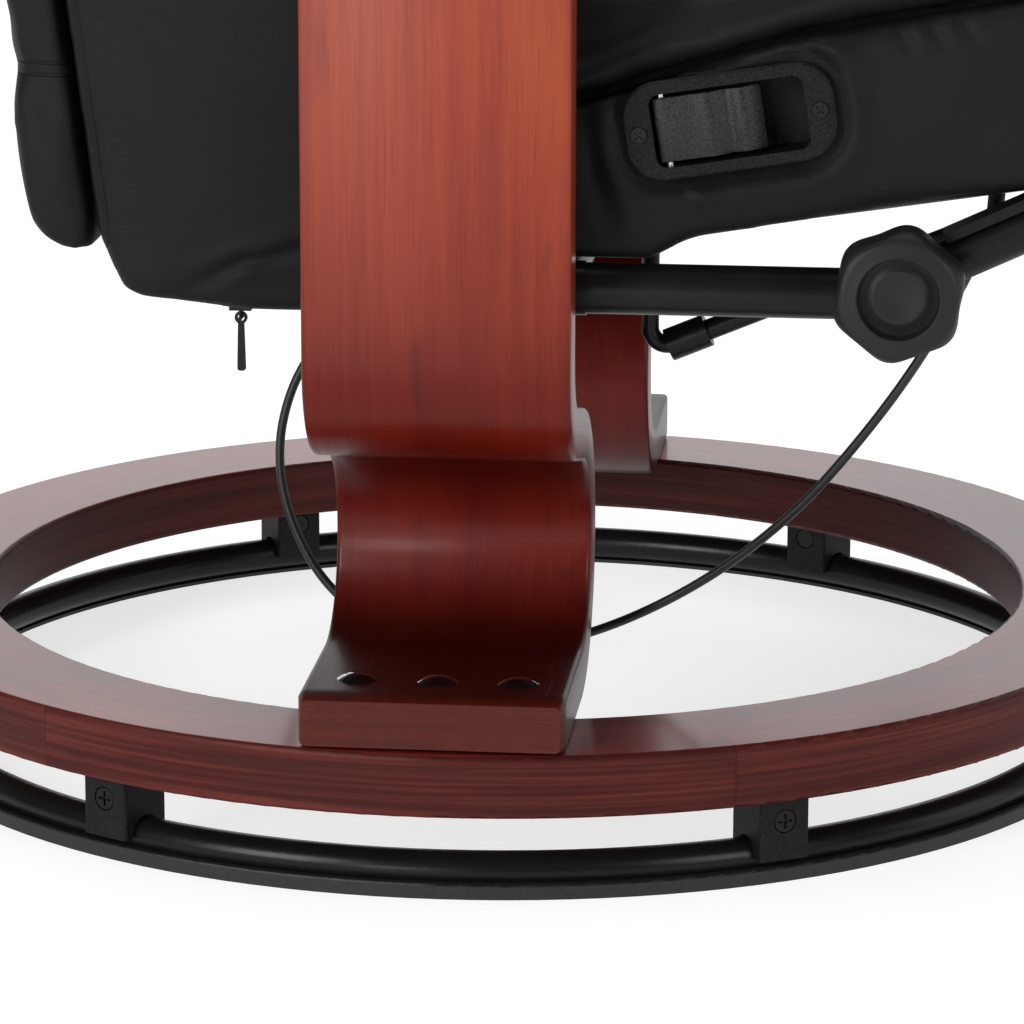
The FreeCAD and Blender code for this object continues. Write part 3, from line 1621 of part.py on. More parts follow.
def make_zip_slider():
    top = back_bottom - rest_gap
    half_length = zip_slider_length / 2
    half_width = zip_slider_width / 2
    low = at(zip_place - half_length, zip_side - half_width, top - zip_slider_height)
    body = block(low, at(zip_place + half_length, zip_side + half_width, top))
    bail_height = top - zip_slider_height - zip_bail_drop
    bail = rod(
        at(zip_place, zip_side - half_width, bail_height),
        at(zip_place, zip_side + half_width, bail_height), zip_bail_radius)
    reach = half_width - zip_leg_inset
    leg_top = top - zip_slider_height / 2
    legs = [
        rod(at(zip_place, spot, bail_height), at(zip_place, spot, leg_top), zip_leg_radius)
        for spot in (zip_side - reach, zip_side + reach)
    ]
    return fuse([body, bail] + legs)


def make_zip_pull():
    height = back_bottom - rest_gap - zip_slider_height - zip_bail_drop
    half = zip_pull_thickness / 2
    near = at(zip_place, zip_side - half, height)
    far = at(zip_place, zip_side + half, height)
    ring = rod(near, far, zip_ring_radius)
    blade = plate_xz([
        (zip_place - zip_pull_width / 2, height - zip_pull_length, zip_pull_width / 3),
        (zip_place + zip_pull_width / 2, height - zip_pull_length, zip_pull_width / 3),
        (zip_place + zip_pull_width / 3, height, 0),
        (zip_place - zip_pull_width / 3, height, 0),
    ], zip_side - half, zip_side + half)
    bore = rod(
        at(zip_place, zip_side - zip_slider_width, height),
        at(zip_place, zip_side + zip_slider_width, height), zip_ring_bore)
    return fuse([ring, blade]).cut(bore)


# Every piece of the chair, by name

os.makedirs("parts", exist_ok=True)

save("floor_ring", [make_floor_ring()])
save("floor_strip", [make_floor_strip()])
save("wood_ring", [make_wood_ring()])
save("roller_brackets", around(make_bracket()))
save("roller_axles", around(make_axle()))
for number, roller in enumerate(around(make_roller()), 1):
    save("roller_" + str(number), [roller])
save_pair("upright", make_upright())
save("foot_bolts", [make_foot_bolt(spot) for spot in foot_bolt_spots()])
save("bolt_caps", [make_bolt_cap(spot) for spot in foot_bolt_spots()])
save_pair("frame_tube", make_frame_tube())
save("mount_plates", both_sides(make_mount_plate()))
plate_bolts = []
for bolt_spot in plate_bolt_spots():
    plate_bolts += both_sides(make_plate_bolt(bolt_spot))
save("plate_bolts", plate_bolts)
save("cross_tube", [make_cross_tube()])
save("pivot_bolts", both_sides(make_pivot_bolt()))
save_pair("knob", make_knob())
save("arm_boards", both_sides(make_arm_board()))
save_pair("arm_pad", make_arm_pad())
arm_screws = []
for screw_spot in arm_screw_spots():
    arm_screws += both_sides(make_arm_screw(screw_spot))
save("arm_screws", arm_screws)

save("seat_frame", [make_seat_frame()])
save_pair("seat_arm", make_seat_arm())
save("seat_webbing", make_seat_webbing())
save("hinge_bolts", both_sides(make_hinge_bolt()))
side_panel = make_seat_side()
handle_pocket = handle_slab(
    opening_length + 2 * cup_wall + 2 * pocket_gap, opening_height + 2 * cup_wall + 2 * pocket_gap,
    opening_corner + cup_wall + pocket_gap, -side_outer, overrun)
screw_holes = [
    rod(handle_at(side * handle_screw_place, 0, -handle_screw_depth - rest_gap),
        handle_at(side * handle_screw_place, 0, overrun), handle_screw_radius)
    for side in (1, -1)
]
save("seat_side_left", [side_panel])
save("seat_side_right", [mirrored(side_panel).cut(fuse([handle_pocket] + screw_holes))])
save("seat_core", [make_seat_core()])
save("seat_cushion", [make_seat_cushion()])
save("stay_rods", both_sides(make_stay_rod()))
save("stay_sleeves", both_sides(make_stay_sleeve()))
save("strut_cylinder", [make_strut_cylinder()])
save("strut_rod", [make_strut_rod()])
save("strut_front_pin", [make_pin(strut_front, strut_pin_radius)])
save("strut_rear_pin", [make_pin(strut_rear, rear_pin_radius)])
save("handle_bezel", [make_bezel()])
save("handle_screws", [make_handle_screw(side) for side in (1, -1)])
save("handle_pin", [handle_pin_rod(0)])
save("handle_spring", [make_leaf()])
save("handle_flap", [make_flap()])
save("release_cable", [cable_tube()])
save("cable_fittings", make_cable_fittings())

save("back_frame", [make_back_frame()])
save("back_webbing", make_back_webbing())
save("back_core", [make_back_core()])
save_pair("back_side", make_back_side())
save("rear_panel", [make_rear_panel()])
save("lumbar_cushion", [pad(back_cushion(
    lumbar_bottom, lumbar_top, lumbar_thickness, lumbar_rise, lumbar_rolls))])
save("upper_cushion", [pad(back_cushion(
    lumbar_top + cushion_gap, upper_top, upper_thickness, upper_rise, upper_rolls))])
save("head_cushion", [make_head_cushion()])
save("zip_slider", [make_zip_slider()])
save("zip_pull", [make_zip_pull()])
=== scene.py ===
"""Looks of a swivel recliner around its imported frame. Metres, +X to the chair's front, +Z up."""

import json
import math

import bmesh
import bpy
import numpy as np
from mathutils import Matrix, Vector

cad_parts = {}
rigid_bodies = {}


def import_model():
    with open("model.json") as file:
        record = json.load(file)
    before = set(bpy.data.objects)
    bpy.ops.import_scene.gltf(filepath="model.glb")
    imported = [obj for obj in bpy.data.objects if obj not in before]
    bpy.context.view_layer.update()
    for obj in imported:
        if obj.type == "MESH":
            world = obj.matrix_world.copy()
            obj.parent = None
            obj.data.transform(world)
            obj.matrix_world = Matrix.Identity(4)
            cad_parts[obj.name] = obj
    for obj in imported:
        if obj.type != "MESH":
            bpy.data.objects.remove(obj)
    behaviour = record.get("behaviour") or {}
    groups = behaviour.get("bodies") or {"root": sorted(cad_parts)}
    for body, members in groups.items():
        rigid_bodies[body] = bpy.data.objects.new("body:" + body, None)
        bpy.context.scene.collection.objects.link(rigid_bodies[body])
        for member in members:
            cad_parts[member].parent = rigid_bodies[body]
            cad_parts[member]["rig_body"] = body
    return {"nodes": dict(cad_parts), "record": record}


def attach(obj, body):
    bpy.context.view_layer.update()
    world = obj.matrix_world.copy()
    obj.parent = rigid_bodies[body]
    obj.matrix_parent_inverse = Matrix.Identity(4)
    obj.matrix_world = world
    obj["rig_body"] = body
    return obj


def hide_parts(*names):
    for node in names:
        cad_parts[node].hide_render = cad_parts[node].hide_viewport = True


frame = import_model()
nodes = frame["nodes"]
slots = {part["node"]: part["material_slot"] for part in frame["record"]["subparts"]}
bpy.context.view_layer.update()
mm = 0.001
sides = {"left": 1, "right": -1}


# Camera at the photograph's place

camera_place = Vector((0.27204, -2.58158, 0.76218))
camera_forward = Vector((-0.10022, 0.96477, -0.24329))
camera_roll = math.radians(0.1)
camera_lens = 170.48


def make_camera():
    data = bpy.data.cameras.new("photo_camera")
    data.sensor_width = 36.0
    data.lens = camera_lens
    camera = bpy.data.objects.new("photo_camera", data)
    bpy.context.scene.collection.objects.link(camera)
    level = camera_forward.to_track_quat("-Z", "Y")
    roll = Matrix.Rotation(camera_roll, 4, "Z")
    camera.matrix_world = Matrix.Translation(camera_place) @ level.to_matrix().to_4x4() @ roll
    bpy.context.scene.camera = camera


# Release cable under the seat: its route, in the frame's places, from front to rear

cable_radius = 2.4 * mm
cable_route = [
    (0.2610, -0.2190, 0.3110),
    (0.2505, -0.2180, 0.2880),
    (0.2310, -0.2140, 0.2500),
    (0.2045, -0.2060, 0.2095),
    (0.1700, -0.1955, 0.1650),
    (0.1220, -0.1770, 0.1210),
    (0.0640, -0.1600, 0.0870),
    (0.0080, -0.1460, 0.0710),
    (-0.0420, -0.1340, 0.0750),
    (-0.0800, -0.1260, 0.0960),
    (-0.1020, -0.1190, 0.1320),
    (-0.1095, -0.1145, 0.1690),
    (-0.1020, -0.1110, 0.2050),
    (-0.0840, -0.1090, 0.2330),
    (-0.0640, -0.1080, 0.2540),
    (-0.0490, -0.1075, 0.2700),
]


def link(name, data):
    piece = bpy.data.objects.new(name, data)
    bpy.context.scene.collection.objects.link(piece)
    return piece


def cord_curve(name, route, radius):
    """Smooth NURBS line with a route's control points, each of which carries the section's radius."""
    data = bpy.data.curves.new(name, "CURVE")
    data.dimensions = "3D"
    data.bevel_depth = 1.0
    data.bevel_resolution = 4
    data.resolution_u = 12
    data.use_fill_caps = True
    spline = data.splines.new("NURBS")
    spline.points.add(len(route) - 1)
    for point, spot in zip(spline.points, route):
        point.co = (*spot, 1.0)
        point.radius = radius
    spline.order_u = 3
    spline.use_endpoint_u = True
    return link(name, data)


def piece_from(mesh, name):
    """A new piece with the faces built so far."""
    data = bpy.data.meshes.new(name)
    mesh.to_mesh(data)
    mesh.free()
    return link(name, data)


def dress(piece, finish):
    piece.data.materials.clear()
    piece.data.materials.append(finishes[finish])


def stand_for(piece, name, finish=None):
    """The piece moves with this node's body, hides it and takes its slot and its finish."""
    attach(piece, nodes[name]["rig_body"])
    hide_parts(name)
    dress(piece, finish or slots[name])


def make_cable():
    cable = cord_curve("release_cable_sheath", cable_route, cable_radius)
    stand_for(cable, "release_cable")


# Shader building

class Wire:
    """One output of a shader node. Arithmetic on wires adds Math nodes."""

    def __init__(self, finish, socket):
        self.finish = finish
        self.socket = socket

    def math(self, operation, *others):
        """This output, and any others after it, through a Math node."""
        return self.finish.node("ShaderNodeMath", {"operation": operation}, (self, *others))

    def __add__(self, other):
        return self.math("ADD", other)

    __radd__ = __add__

    def __mul__(self, other):
        return self.math("MULTIPLY", other)

    __rmul__ = __mul__

    def __sub__(self, other):
        return self.math("SUBTRACT", other)

    def __rsub__(self, other):
        return self.finish.node("ShaderNodeMath", {"operation": "SUBTRACT"}, (other, self))

    def __pow__(self, other):
        return self.math("POWER", other)


class Finish:
    """One material: a Principled shader and the nodes that feed it."""

    def __init__(self, name, **uniform):
        self.material = bpy.data.materials.new(name)
        self.material.use_nodes = True
        self.tree = self.material.node_tree
        self.tree.nodes.clear()
        self.shader = self.tree.nodes.new("ShaderNodeBsdfPrincipled")
        surface = self.tree.nodes.new("ShaderNodeOutputMaterial")
        self.tree.links.new(self.shader.outputs[0], surface.inputs["Surface"])
        for label, value in uniform.items():
            self.shader.inputs[label.replace("_", " ")].default_value = value

    def feed(self, socket, value):
        if isinstance(value, Wire):
            self.tree.links.new(value.socket, socket)
        else:
            socket.default_value = value

    def node(self, kind, settings=None, inputs=(), output=0):
        """Adds a node, sets it up, feeds its sockets by name or in order, and gives one output."""
        made = self.tree.nodes.new(kind)
        for label, value in (settings or {}).items():
            if label == "stops":
                ramp = made.color_ramp.elements
                while len(ramp) < len(value):
                    ramp.new(1.0)
                for element, (position, tint) in zip(ramp, value):
                    element.position = position
                    element.color = (*tint, 1.0)
            else:
                setattr(made, label, value)
        pairs = inputs.items() if isinstance(inputs, dict) else enumerate(inputs)
        for label, value in pairs:
            self.feed(made.inputs[label], value)
        return Wire(self, made.outputs[output])

    def place(self):
        return self.node("ShaderNodeTexCoord", output="Object")

    def painted(self, name, output="Vector"):
        return self.node("ShaderNodeAttribute", {"attribute_name": name}, output=output)

    def stretched(self, vector, scales):
        return self.node("ShaderNodeVectorMath", {"operation": "MULTIPLY"}, (vector, scales))

    def parts(self, vector):
        return [self.node("ShaderNodeSeparateXYZ", inputs=(vector,), output=axis) for axis in range(3)]

    def joined(self, x, y, z):
        return self.node("ShaderNodeCombineXYZ", inputs=(x, y, z))

    def noise(self, vector, scale, detail=2.0, distortion=0.0):
        return self.node("ShaderNodeTexNoise", inputs={
            "Vector": vector, "Scale": scale, "Detail": detail, "Distortion": distortion})

    def cell_edges(self, vector, scale):
        """Distance from the edges of a pattern of cells."""
        return self.node(
            "ShaderNodeTexVoronoi", {"feature": "DISTANCE_TO_EDGE"},
            {"Vector": vector, "Scale": scale}, output="Distance")

    def spread(self, value, low, high):
        """0 up to low, 1 from high on, and a smooth step between them."""
        return self.node(
            "ShaderNodeMapRange", {"interpolation_type": "SMOOTHSTEP"},
            {"Value": value, "From Min": low, "From Max": high})

    def ramp(self, factor, stops):
        return self.node("ShaderNodeValToRGB", {"stops": stops}, (factor,))

    def mixed(self, factor, first, second, blend="MIX"):
        return self.node(
            "ShaderNodeMix", {"data_type": "RGBA", "blend_type": blend},
            {0: factor, 6: colour(first), 7: colour(second)}, output=2)

    def base(self, value):
        self.feed(self.shader.inputs["Base Color"], colour(value))

    def rough(self, value):
        self.feed(self.shader.inputs["Roughness"], value)

    def coat(self, value):
        self.feed(self.shader.inputs["Coat Weight"], value)

    def facing_up(self):
        """1 where the surface faces up, 0 where it is upright or faces down."""
        normal = self.node("ShaderNodeNewGeometry", output="Normal")
        return self.spread(self.parts(normal)[2], 0.88, 0.99)

    def bumps(self, *layers):
        """Bump nodes in a row, each (height, distance in metres)."""
        normal = None
        for height, distance in layers:
            inputs = {"Height": height, "Distance": distance, "Strength": 1.0}
            if normal is not None:
                inputs["Normal"] = normal
            normal = self.node("ShaderNodeBump", inputs=inputs)
        self.feed(self.shader.inputs["Normal"], normal)


def colour(value):
    return value if isinstance(value, Wire) else (*value, 1.0)


# Places that the finishes follow

piping_offset = 2.6 * mm
piping_reach = 2.4 * mm
stitch_offset = 7.5 * mm
stitch_reach = 1.2 * mm
# Radii over which the ring's inner wall takes its painted shade
ring_shade_start = 284.2 * mm
ring_shade_end = 286.8 * mm

# Painted shade and light along an upright, by the distance from its foot's end: dark foot and lower
# bend, a painted highlight band mid-bend, lighter higher up
painted_light_along = [
    (0.0, (0.22, 0.20, 0.20)), (0.012, (0.07, 0.035, 0.035)), (0.125, (0.09, 0.035, 0.03)),
    (0.185, (0.34, 0.17, 0.20)), (0.24, (0.16, 0.06, 0.055)), (0.318, (0.20, 0.08, 0.06)),
    (0.366, (0.305, 0.12, 0.06)), (0.40, (0.50, 0.42, 0.42)), (0.4355, (0.594, 0.574, 0.632)),
    (0.53, (0.735, 0.90, 1.0))]


# Finishes

def leather():
    """Black bonded leather: fine pebbles, soft sheen, sewn edges, wrinkles where it is strained."""
    finish = Finish("black_leather", Specular_IOR_Level=0.1)
    place = finish.place()
    pebbles = finish.cell_edges(place, 950.0)
    pores = finish.noise(place, 2600.0, 1.0)
    patches = finish.noise(place, 9.0, 2.0)
    strain = finish.painted("strain", "Fac")
    wrinkles = finish.noise(finish.stretched(place, (55.0, 55.0, 260.0)), 1.0, 3.0, 0.6)
    tone = finish.spread(patches, 0.3, 0.7)
    finish.base(finish.mixed(tone, (0.0060, 0.0060, 0.0068), (0.0085, 0.0085, 0.0093)))
    finish.rough(0.42 + 0.1 * patches + 0.05 * pores)
    edge = finish.painted("edge_gap", "Fac")
    piping = 1 - finish.spread((edge - piping_offset).math("ABSOLUTE"), 0.0, piping_reach)
    stitch_row = 1 - finish.spread((edge - stitch_offset).math("ABSOLUTE"), 0.0, stitch_reach)
    finish.bumps(
        (finish.spread(pebbles, 0.0, 0.22), 0.00006), (pores, 0.00003),
        (wrinkles * strain, 0.0006), (piping, 0.0016), (1 - stitch_row, 0.0007))
    return finish.material


def stained_wood():
    """Cherry-red stained veneer. Its grain runs along each strip, as painted on the mesh."""
    finish = Finish(
        "stained_bentwood", Specular_IOR_Level=0.12, Coat_Weight=0.16, Coat_Roughness=0.2)
    across, along, depth = finish.parts(finish.painted("grain"))
    grain = finish.joined(across, along, depth)
    figure = finish.noise(finish.stretched(grain, (14.0, 3.2, 14.0)), 1.0, 3.0, 0.4)
    streaks = finish.noise(finish.stretched(grain, (260.0, 6.0, 260.0)), 1.0, 3.0)
    pores = finish.noise(finish.stretched(grain, (1500.0, 22.0, 1500.0)), 1.0, 1.0)
    blotch = finish.noise(finish.stretched(grain, (30.0, 12.0, 30.0)), 1.0, 2.0, 0.8)
    dark = finish.spread(pores, 0.60, 0.72)
    tone = finish.spread(figure * 0.65 + streaks * 0.35, 0.28, 0.76)
    stain = finish.mixed(tone, (0.250, 0.026, 0.016), (0.400, 0.060, 0.022))
    stain = finish.mixed(finish.spread(blotch, 0.58, 0.74) * 0.45, stain, (0.175, 0.022, 0.020))
    stain = finish.mixed(dark * 0.30, stain, (0.110, 0.012, 0.010))
    plies = finish.noise(finish.stretched(grain, (6.0, 3.0, 900.0)), 1.0, 1.0)
    edge = finish.spread(finish.painted("end_grain", "Fac"), 0.4, 0.6)
    stain = finish.mixed(edge * finish.spread(plies, 0.4, 0.6) * 0.35, stain, (0.12, 0.014, 0.010))
    # Painted shade and light: the stain is multiplied by a ramp along the strip
    finish.base(finish.mixed(1.0, stain, finish.ramp(along, painted_light_along), "MULTIPLY"))
    finish.rough(0.34 + 0.1 * streaks + 0.06 * dark)
    finish.bumps((streaks, 0.00005), (1 - dark, 0.00004))
    return finish.material


def ring_wood():
    """The ring's darker stain, with grain that runs round it and joints between its staves."""
    finish = Finish("stained_ring_wood", Specular_IOR_Level=0.1, Coat_Roughness=0.16)
    x, y, z = finish.parts(finish.place())
    radius = (x * x + y * y) ** 0.5
    angle = y.math("ARCTAN2", x)
    middle_radius = 0.32
    along = angle * middle_radius
    stave_count = 6.0
    first_joint = 0.09
    turn = (angle + first_joint) * (stave_count / (2 * math.pi))
    stave = turn.math("FLOOR")
    joint = (turn.math("FRACT") - 0.5).math("ABSOLUTE")
    seam = finish.spread(joint, 0.4985, 0.4995)
    offset = finish.node("ShaderNodeTexWhiteNoise", {"noise_dimensions": "1D"}, {"W": stave})
    grain = finish.joined(radius + 0.3 * offset, along + 2.0 * offset, z)
    figure = finish.noise(finish.stretched(grain, (34.0, 4.5, 34.0)), 1.0, 3.0, 0.5)
    streaks = finish.noise(finish.stretched(grain, (330.0, 8.0, 330.0)), 1.0, 3.0)
    pores = finish.noise(finish.stretched(grain, (1700.0, 120.0, 1700.0)), 1.0, 1.0)
    dark = finish.spread(pores, 0.60, 0.72)
    tone = finish.spread(figure * 0.5 + streaks * 0.5, 0.38, 0.64)
    stain = finish.mixed(tone, (0.050, 0.009, 0.008), (0.105, 0.020, 0.016))
    stain = finish.mixed(offset * 0.25, stain, (0.110, 0.024, 0.020))
    stain = finish.mixed(dark * 0.4, stain, (0.030, 0.005, 0.004))
    stain = finish.mixed(seam * 0.6, stain, (0.020, 0.004, 0.003))
    top = finish.facing_up()
    plies = finish.noise(finish.stretched(grain, (3.0, 3.0, 420.0)), 1.0, 1.0)
    stain = finish.mixed((1 - top) * finish.spread(plies, 0.42, 0.6) * 0.5, stain, (0.028, 0.005, 0.004))
    # Painted shade: the ring's inward-facing wall is coloured darker
    inner_wall_shade = 1 - finish.spread(radius, ring_shade_start, ring_shade_end)
    stain = finish.mixed(inner_wall_shade * 0.55, stain, (0.012, 0.003, 0.002))
    lit_top = finish.mixed(1.0, stain, (2.4, 1.2, 1.5), "MULTIPLY")
    finish.base(finish.mixed(top, stain, lit_top))
    finish.coat(top * 0.64)
    finish.rough(0.36 + 0.12 * streaks)
    finish.bumps((streaks, 0.00006), (1 - dark, 0.00005))
    return finish.material


def coated_steel(name, shine):
    """Black powder coat with a little orange peel."""
    finish = Finish(name, Specular_IOR_Level=0.16)
    place = finish.place()
    peel = finish.noise(place, 420.0, 2.0)
    dust = finish.noise(place, 35.0, 3.0)
    finish.base(finish.mixed(dust, (0.004, 0.004, 0.0042), (0.008, 0.008, 0.0082)))
    finish.rough(shine + 0.1 * dust)
    finish.bumps((peel, 0.00007))
    return finish.material


def bare_steel(name, tint, roughness):
    """Turned steel with fine marks round it."""
    finish = Finish(name, Metallic=1.0)
    place = finish.place()
    marks = finish.noise(finish.stretched(place, (900.0, 90.0, 900.0)), 1.0, 2.0)
    finish.base(finish.mixed(marks, [0.8 * value for value in tint], tint))
    finish.rough(roughness + 0.12 * marks)
    finish.bumps((marks, 0.00002))
    return finish.material


def moulded_plastic(name, low, high, roughness, texture, depth, shine=0.35):
    """Black moulded plastic with a spark-eroded texture."""
    finish = Finish(name, Specular_IOR_Level=shine)
    place = finish.place()
    grit = finish.noise(place, texture, 2.0)
    flow = finish.noise(place, 60.0, 2.0)
    finish.base(finish.mixed(finish.spread(grit, 0.35, 0.65), [low] * 3, [high] * 3))
    finish.rough(roughness + 0.12 * grit + 0.06 * flow)
    finish.bumps((grit, depth))
    return finish.material


def glossy_plastic():
    """Polished black caps: a clear coat over a faint flow pattern."""
    finish = Finish(
        "gloss_cap_plastic", Specular_IOR_Level=0.5, Coat_Weight=1.0, Coat_Roughness=0.03)
    flow = finish.noise(finish.place(), 90.0, 2.0)
    finish.base(finish.mixed(flow, (0.003, 0.002, 0.002), (0.006, 0.004, 0.004)))
    finish.rough(0.04 + 0.04 * flow)
    finish.bumps((flow, 0.00001))
    return finish.material


def woven(name, dark, light, pitch):
    """Plain woven fabric from two crossed waves."""
    finish = Finish(name, Sheen_Weight=0.1, Specular_IOR_Level=0.2)
    x, y, z = finish.parts(finish.place())
    turn = 2 * math.pi / pitch
    warp = (x + z) * turn
    weft = (y + z * 0.35) * turn
    weave = warp.math("SINE") * weft.math("SINE")
    threads = finish.spread(weave, -0.9, 0.9)
    fuzz = finish.noise(finish.place(), 700.0, 2.0)
    finish.base(finish.mixed(threads * fuzz, dark, light))
    finish.rough(0.8 + 0.15 * fuzz)
    finish.bumps((threads, 0.0002))
    return finish.material


def floor_paint():
    finish = Finish("studio_floor", Specular_IOR_Level=0.1, Emission_Strength=0.72)
    cloud = finish.noise(finish.place(), 0.8, 2.0)
    finish.base(finish.mixed(cloud, (0.44, 0.44, 0.44), (0.47, 0.47, 0.47)))
    finish.feed(finish.shader.inputs["Emission Color"], colour((1.0, 1.0, 1.0)))
    finish.rough(0.9 + 0.05 * cloud)
    return finish.material


finishes = {
    "ring_wood": ring_wood(),
    "arm_wood": stained_wood(),
    "black_steel": coated_steel("black_powder_coat", 0.26),
    "track_steel": coated_steel("black_track_paint", 0.22),
    "plain_steel": bare_steel("zinc_plated_steel", (0.62, 0.62, 0.60), 0.28),
    "black_screws": bare_steel("blackened_screw_steel", (0.025, 0.025, 0.026), 0.42),
    "strut_chrome": bare_steel("hard_chrome", (0.85, 0.85, 0.87), 0.06),
    "black_plastic": moulded_plastic(
        "textured_black_plastic", 0.003, 0.011, 0.46, 1000.0, 0.0003, 0.12),
    # The flap's plastic: paler and shinier than the other black plastic
    "flap_plastic": moulded_plastic(
        "paler_flap_plastic", 0.004, 0.018, 0.36, 900.0, 0.0003, 0.26),
    "knob_plastic": moulded_plastic(
        "satin_knob_plastic", 0.009, 0.013, 0.36, 1500.0, 0.00007, 0.2),
    "roller_plastic": moulded_plastic("grey_nylon", 0.03, 0.05, 0.4, 500.0, 0.00004),
    "cap_plastic": glossy_plastic(),
    "floor_plastic": moulded_plastic("soft_black_strip", 0.008, 0.014, 0.4, 600.0, 0.00008),
    "cable_sheath": moulded_plastic("cable_sheath_vinyl", 0.008, 0.012, 0.32, 800.0, 0.00004),
    "leather": leather(),
    "foam": woven("black_lining_cloth", (0.010, 0.010, 0.010), (0.030, 0.030, 0.031), 1.4 * mm),
    "webbing": woven("elastic_webbing", (0.015, 0.015, 0.016), (0.08, 0.08, 0.08), 2.4 * mm),
    "zip_metal": coated_steel("black_zip_enamel", 0.3),
}


# Meshes

corner_steps = 4
sharp_angle = 40


def closed(line):
    return list(line) + [line[0]]


def rounded_rectangle(width, height, corner):
    """Points in order round a rectangle about its middle, with rounded corners."""
    line = []
    for number in range(4):
        across = 1 if number in (0, 3) else -1
        up = 1 if number < 2 else -1
        centre = Vector((across * (width / 2 - corner), up * (height / 2 - corner)))
        for step in range(corner_steps + 1):
            turn = math.radians(90 * (number + step / corner_steps))
            line.append(centre + corner * Vector((math.cos(turn), math.sin(turn))))
    return line


def bridge(mesh, rings):
    """Quads between each closed ring of corners and the next."""
    count = len(rings[0])
    for ring, following in zip(rings, rings[1:]):
        for index in range(count):
            after = (index + 1) % count
            mesh.faces.new((ring[index], ring[after], following[after], following[index]))


def smooth_by_angle(piece, degrees):
    """Smooth shading with sharp edges where faces meet at more than an angle."""
    mesh = bmesh.new()
    mesh.from_mesh(piece.data)
    for face in mesh.faces:
        face.smooth = True
    for edge in mesh.edges:
        edge.smooth = len(edge.link_faces) == 2 and edge.calc_face_angle(0) < math.radians(degrees)
    mesh.to_mesh(piece.data)
    mesh.free()


# Bentwood uprights: one strip from the foot to the tongue under the arm

upright_width = 130.6 * mm
upright_thickness = 27 * mm
upright_round = 2.8 * mm
ring_top = 76.5 * mm
foot_end = 346.3 * mm
upright_inner = 295 * mm
foot_bend_place = 249.5 * mm
foot_bend_radius = 61.6 * mm
shelf_slope = 13
shelf_bend_radius = 41 * mm
upright_straight = 217 * mm
arm_bend_radius = 43.5 * mm
tongue_length = 14 * mm
run_step = 8 * mm
turn_step = math.radians(4)
strip_end_inset = 0.7 * upright_round
grain_shift = 0.4


def strip_path(start, heading, moves):
    """Points, headings and distances along a path of runs and turns in a plane."""
    point = Vector(start)
    angle = math.radians(heading)
    travelled = 0.0
    rows = [(point.copy(), angle, travelled)]
    for size, turn in moves:
        spin = math.radians(turn)
        length = size * abs(spin) if turn else size
        steps = max(1, math.ceil(abs(spin) / turn_step if turn else size / run_step))
        for _ in range(steps):
            middle = angle + spin / steps / 2
            chord = 2 * size * math.sin(abs(spin) / steps / 2) if turn else size / steps
            point = point + Vector((math.cos(middle), math.sin(middle))) * chord
            angle += spin / steps
            travelled += length / steps
            rows.append((point.copy(), angle, travelled))
    return rows


def shelf_length():
    """Straight run between the foot's bend and the shelf's bend that ends under the upright."""
    rise = math.radians(shelf_slope)
    start = foot_bend_place - foot_bend_radius * math.sin(rise)
    end = upright_inner + upright_thickness / 2 - shelf_bend_radius * (1 - math.sin(rise))
    return (end - start) / math.cos(rise)


def make_upright(word):
    """A strip swept along its path, with its grain and its edges painted on it."""
    side = sides[word]
    moves = [
        (foot_end - foot_bend_place, 0), (foot_bend_radius, shelf_slope - 180),
        (shelf_length(), 0), (shelf_bend_radius, 90 - shelf_slope), (upright_straight, 0),
        (arm_bend_radius, -90), (tongue_length, 0)]
    rows = strip_path((foot_end, ring_top + upright_thickness / 2), 180, moves)
    section = rounded_rectangle(upright_width, upright_thickness, upright_round)
    mesh = bmesh.new()
    grain = mesh.verts.layers.float_vector.new("grain")
    rim = mesh.verts.layers.float.new("end_grain")
    rings = []
    last = len(rows) - 1
    for index, (point, angle, travelled) in enumerate(rows):
        left = Vector((-math.sin(angle), math.cos(angle)))
        inset = strip_end_inset if index in (0, last) else 0.0
        share_width = 1 - inset / (upright_width / 2)
        share_depth = 1 - inset / (upright_thickness / 2)
        ring = []
        for across, depth in section:
            spot = point + left * depth * share_depth
            vert = mesh.verts.new((across * share_width, side * spot.x, spot.y))
            vert[grain] = (across + side * grain_shift, travelled, depth)
            vert[rim] = 1.0 if abs(across) > upright_width / 2 - upright_round else 0.0
            ring.append(vert)
        rings.append(ring)
    bridge(mesh, rings)
    mesh.faces.new(rings[0][::-1])
    mesh.faces.new(rings[-1])
    bmesh.ops.recalc_face_normals(mesh, faces=mesh.faces)
    piece = piece_from(mesh, "upright_" + word + "_bentwood")
    smooth_by_angle(piece, sharp_angle)
    stand_for(piece, "upright_" + word)


# Soft pieces: copies of the frame's soft solids, remeshed, puffed up and creased

def corners_of(data):
    places = np.empty(len(data.vertices) * 3)
    data.vertices.foreach_get("co", places)
    return places.reshape(-1, 3)


def put_corners(data, places):
    data.vertices.foreach_set("co", places.astype(np.float32).ravel())
    data.update()


def normals_of(data):
    ways = np.empty(len(data.vertices) * 3, np.float32)
    data.vertex_normals.foreach_get("vector", ways)
    return ways.reshape(-1, 3).astype(float)


def bake_modifiers(piece):
    """Replaces the piece's mesh with what its modifiers make of it."""
    evaluated = piece.evaluated_get(bpy.context.evaluated_depsgraph_get())
    data = bpy.data.meshes.new_from_object(evaluated)
    piece.modifiers.clear()
    piece.data = data
    return piece


soften_steps = 4


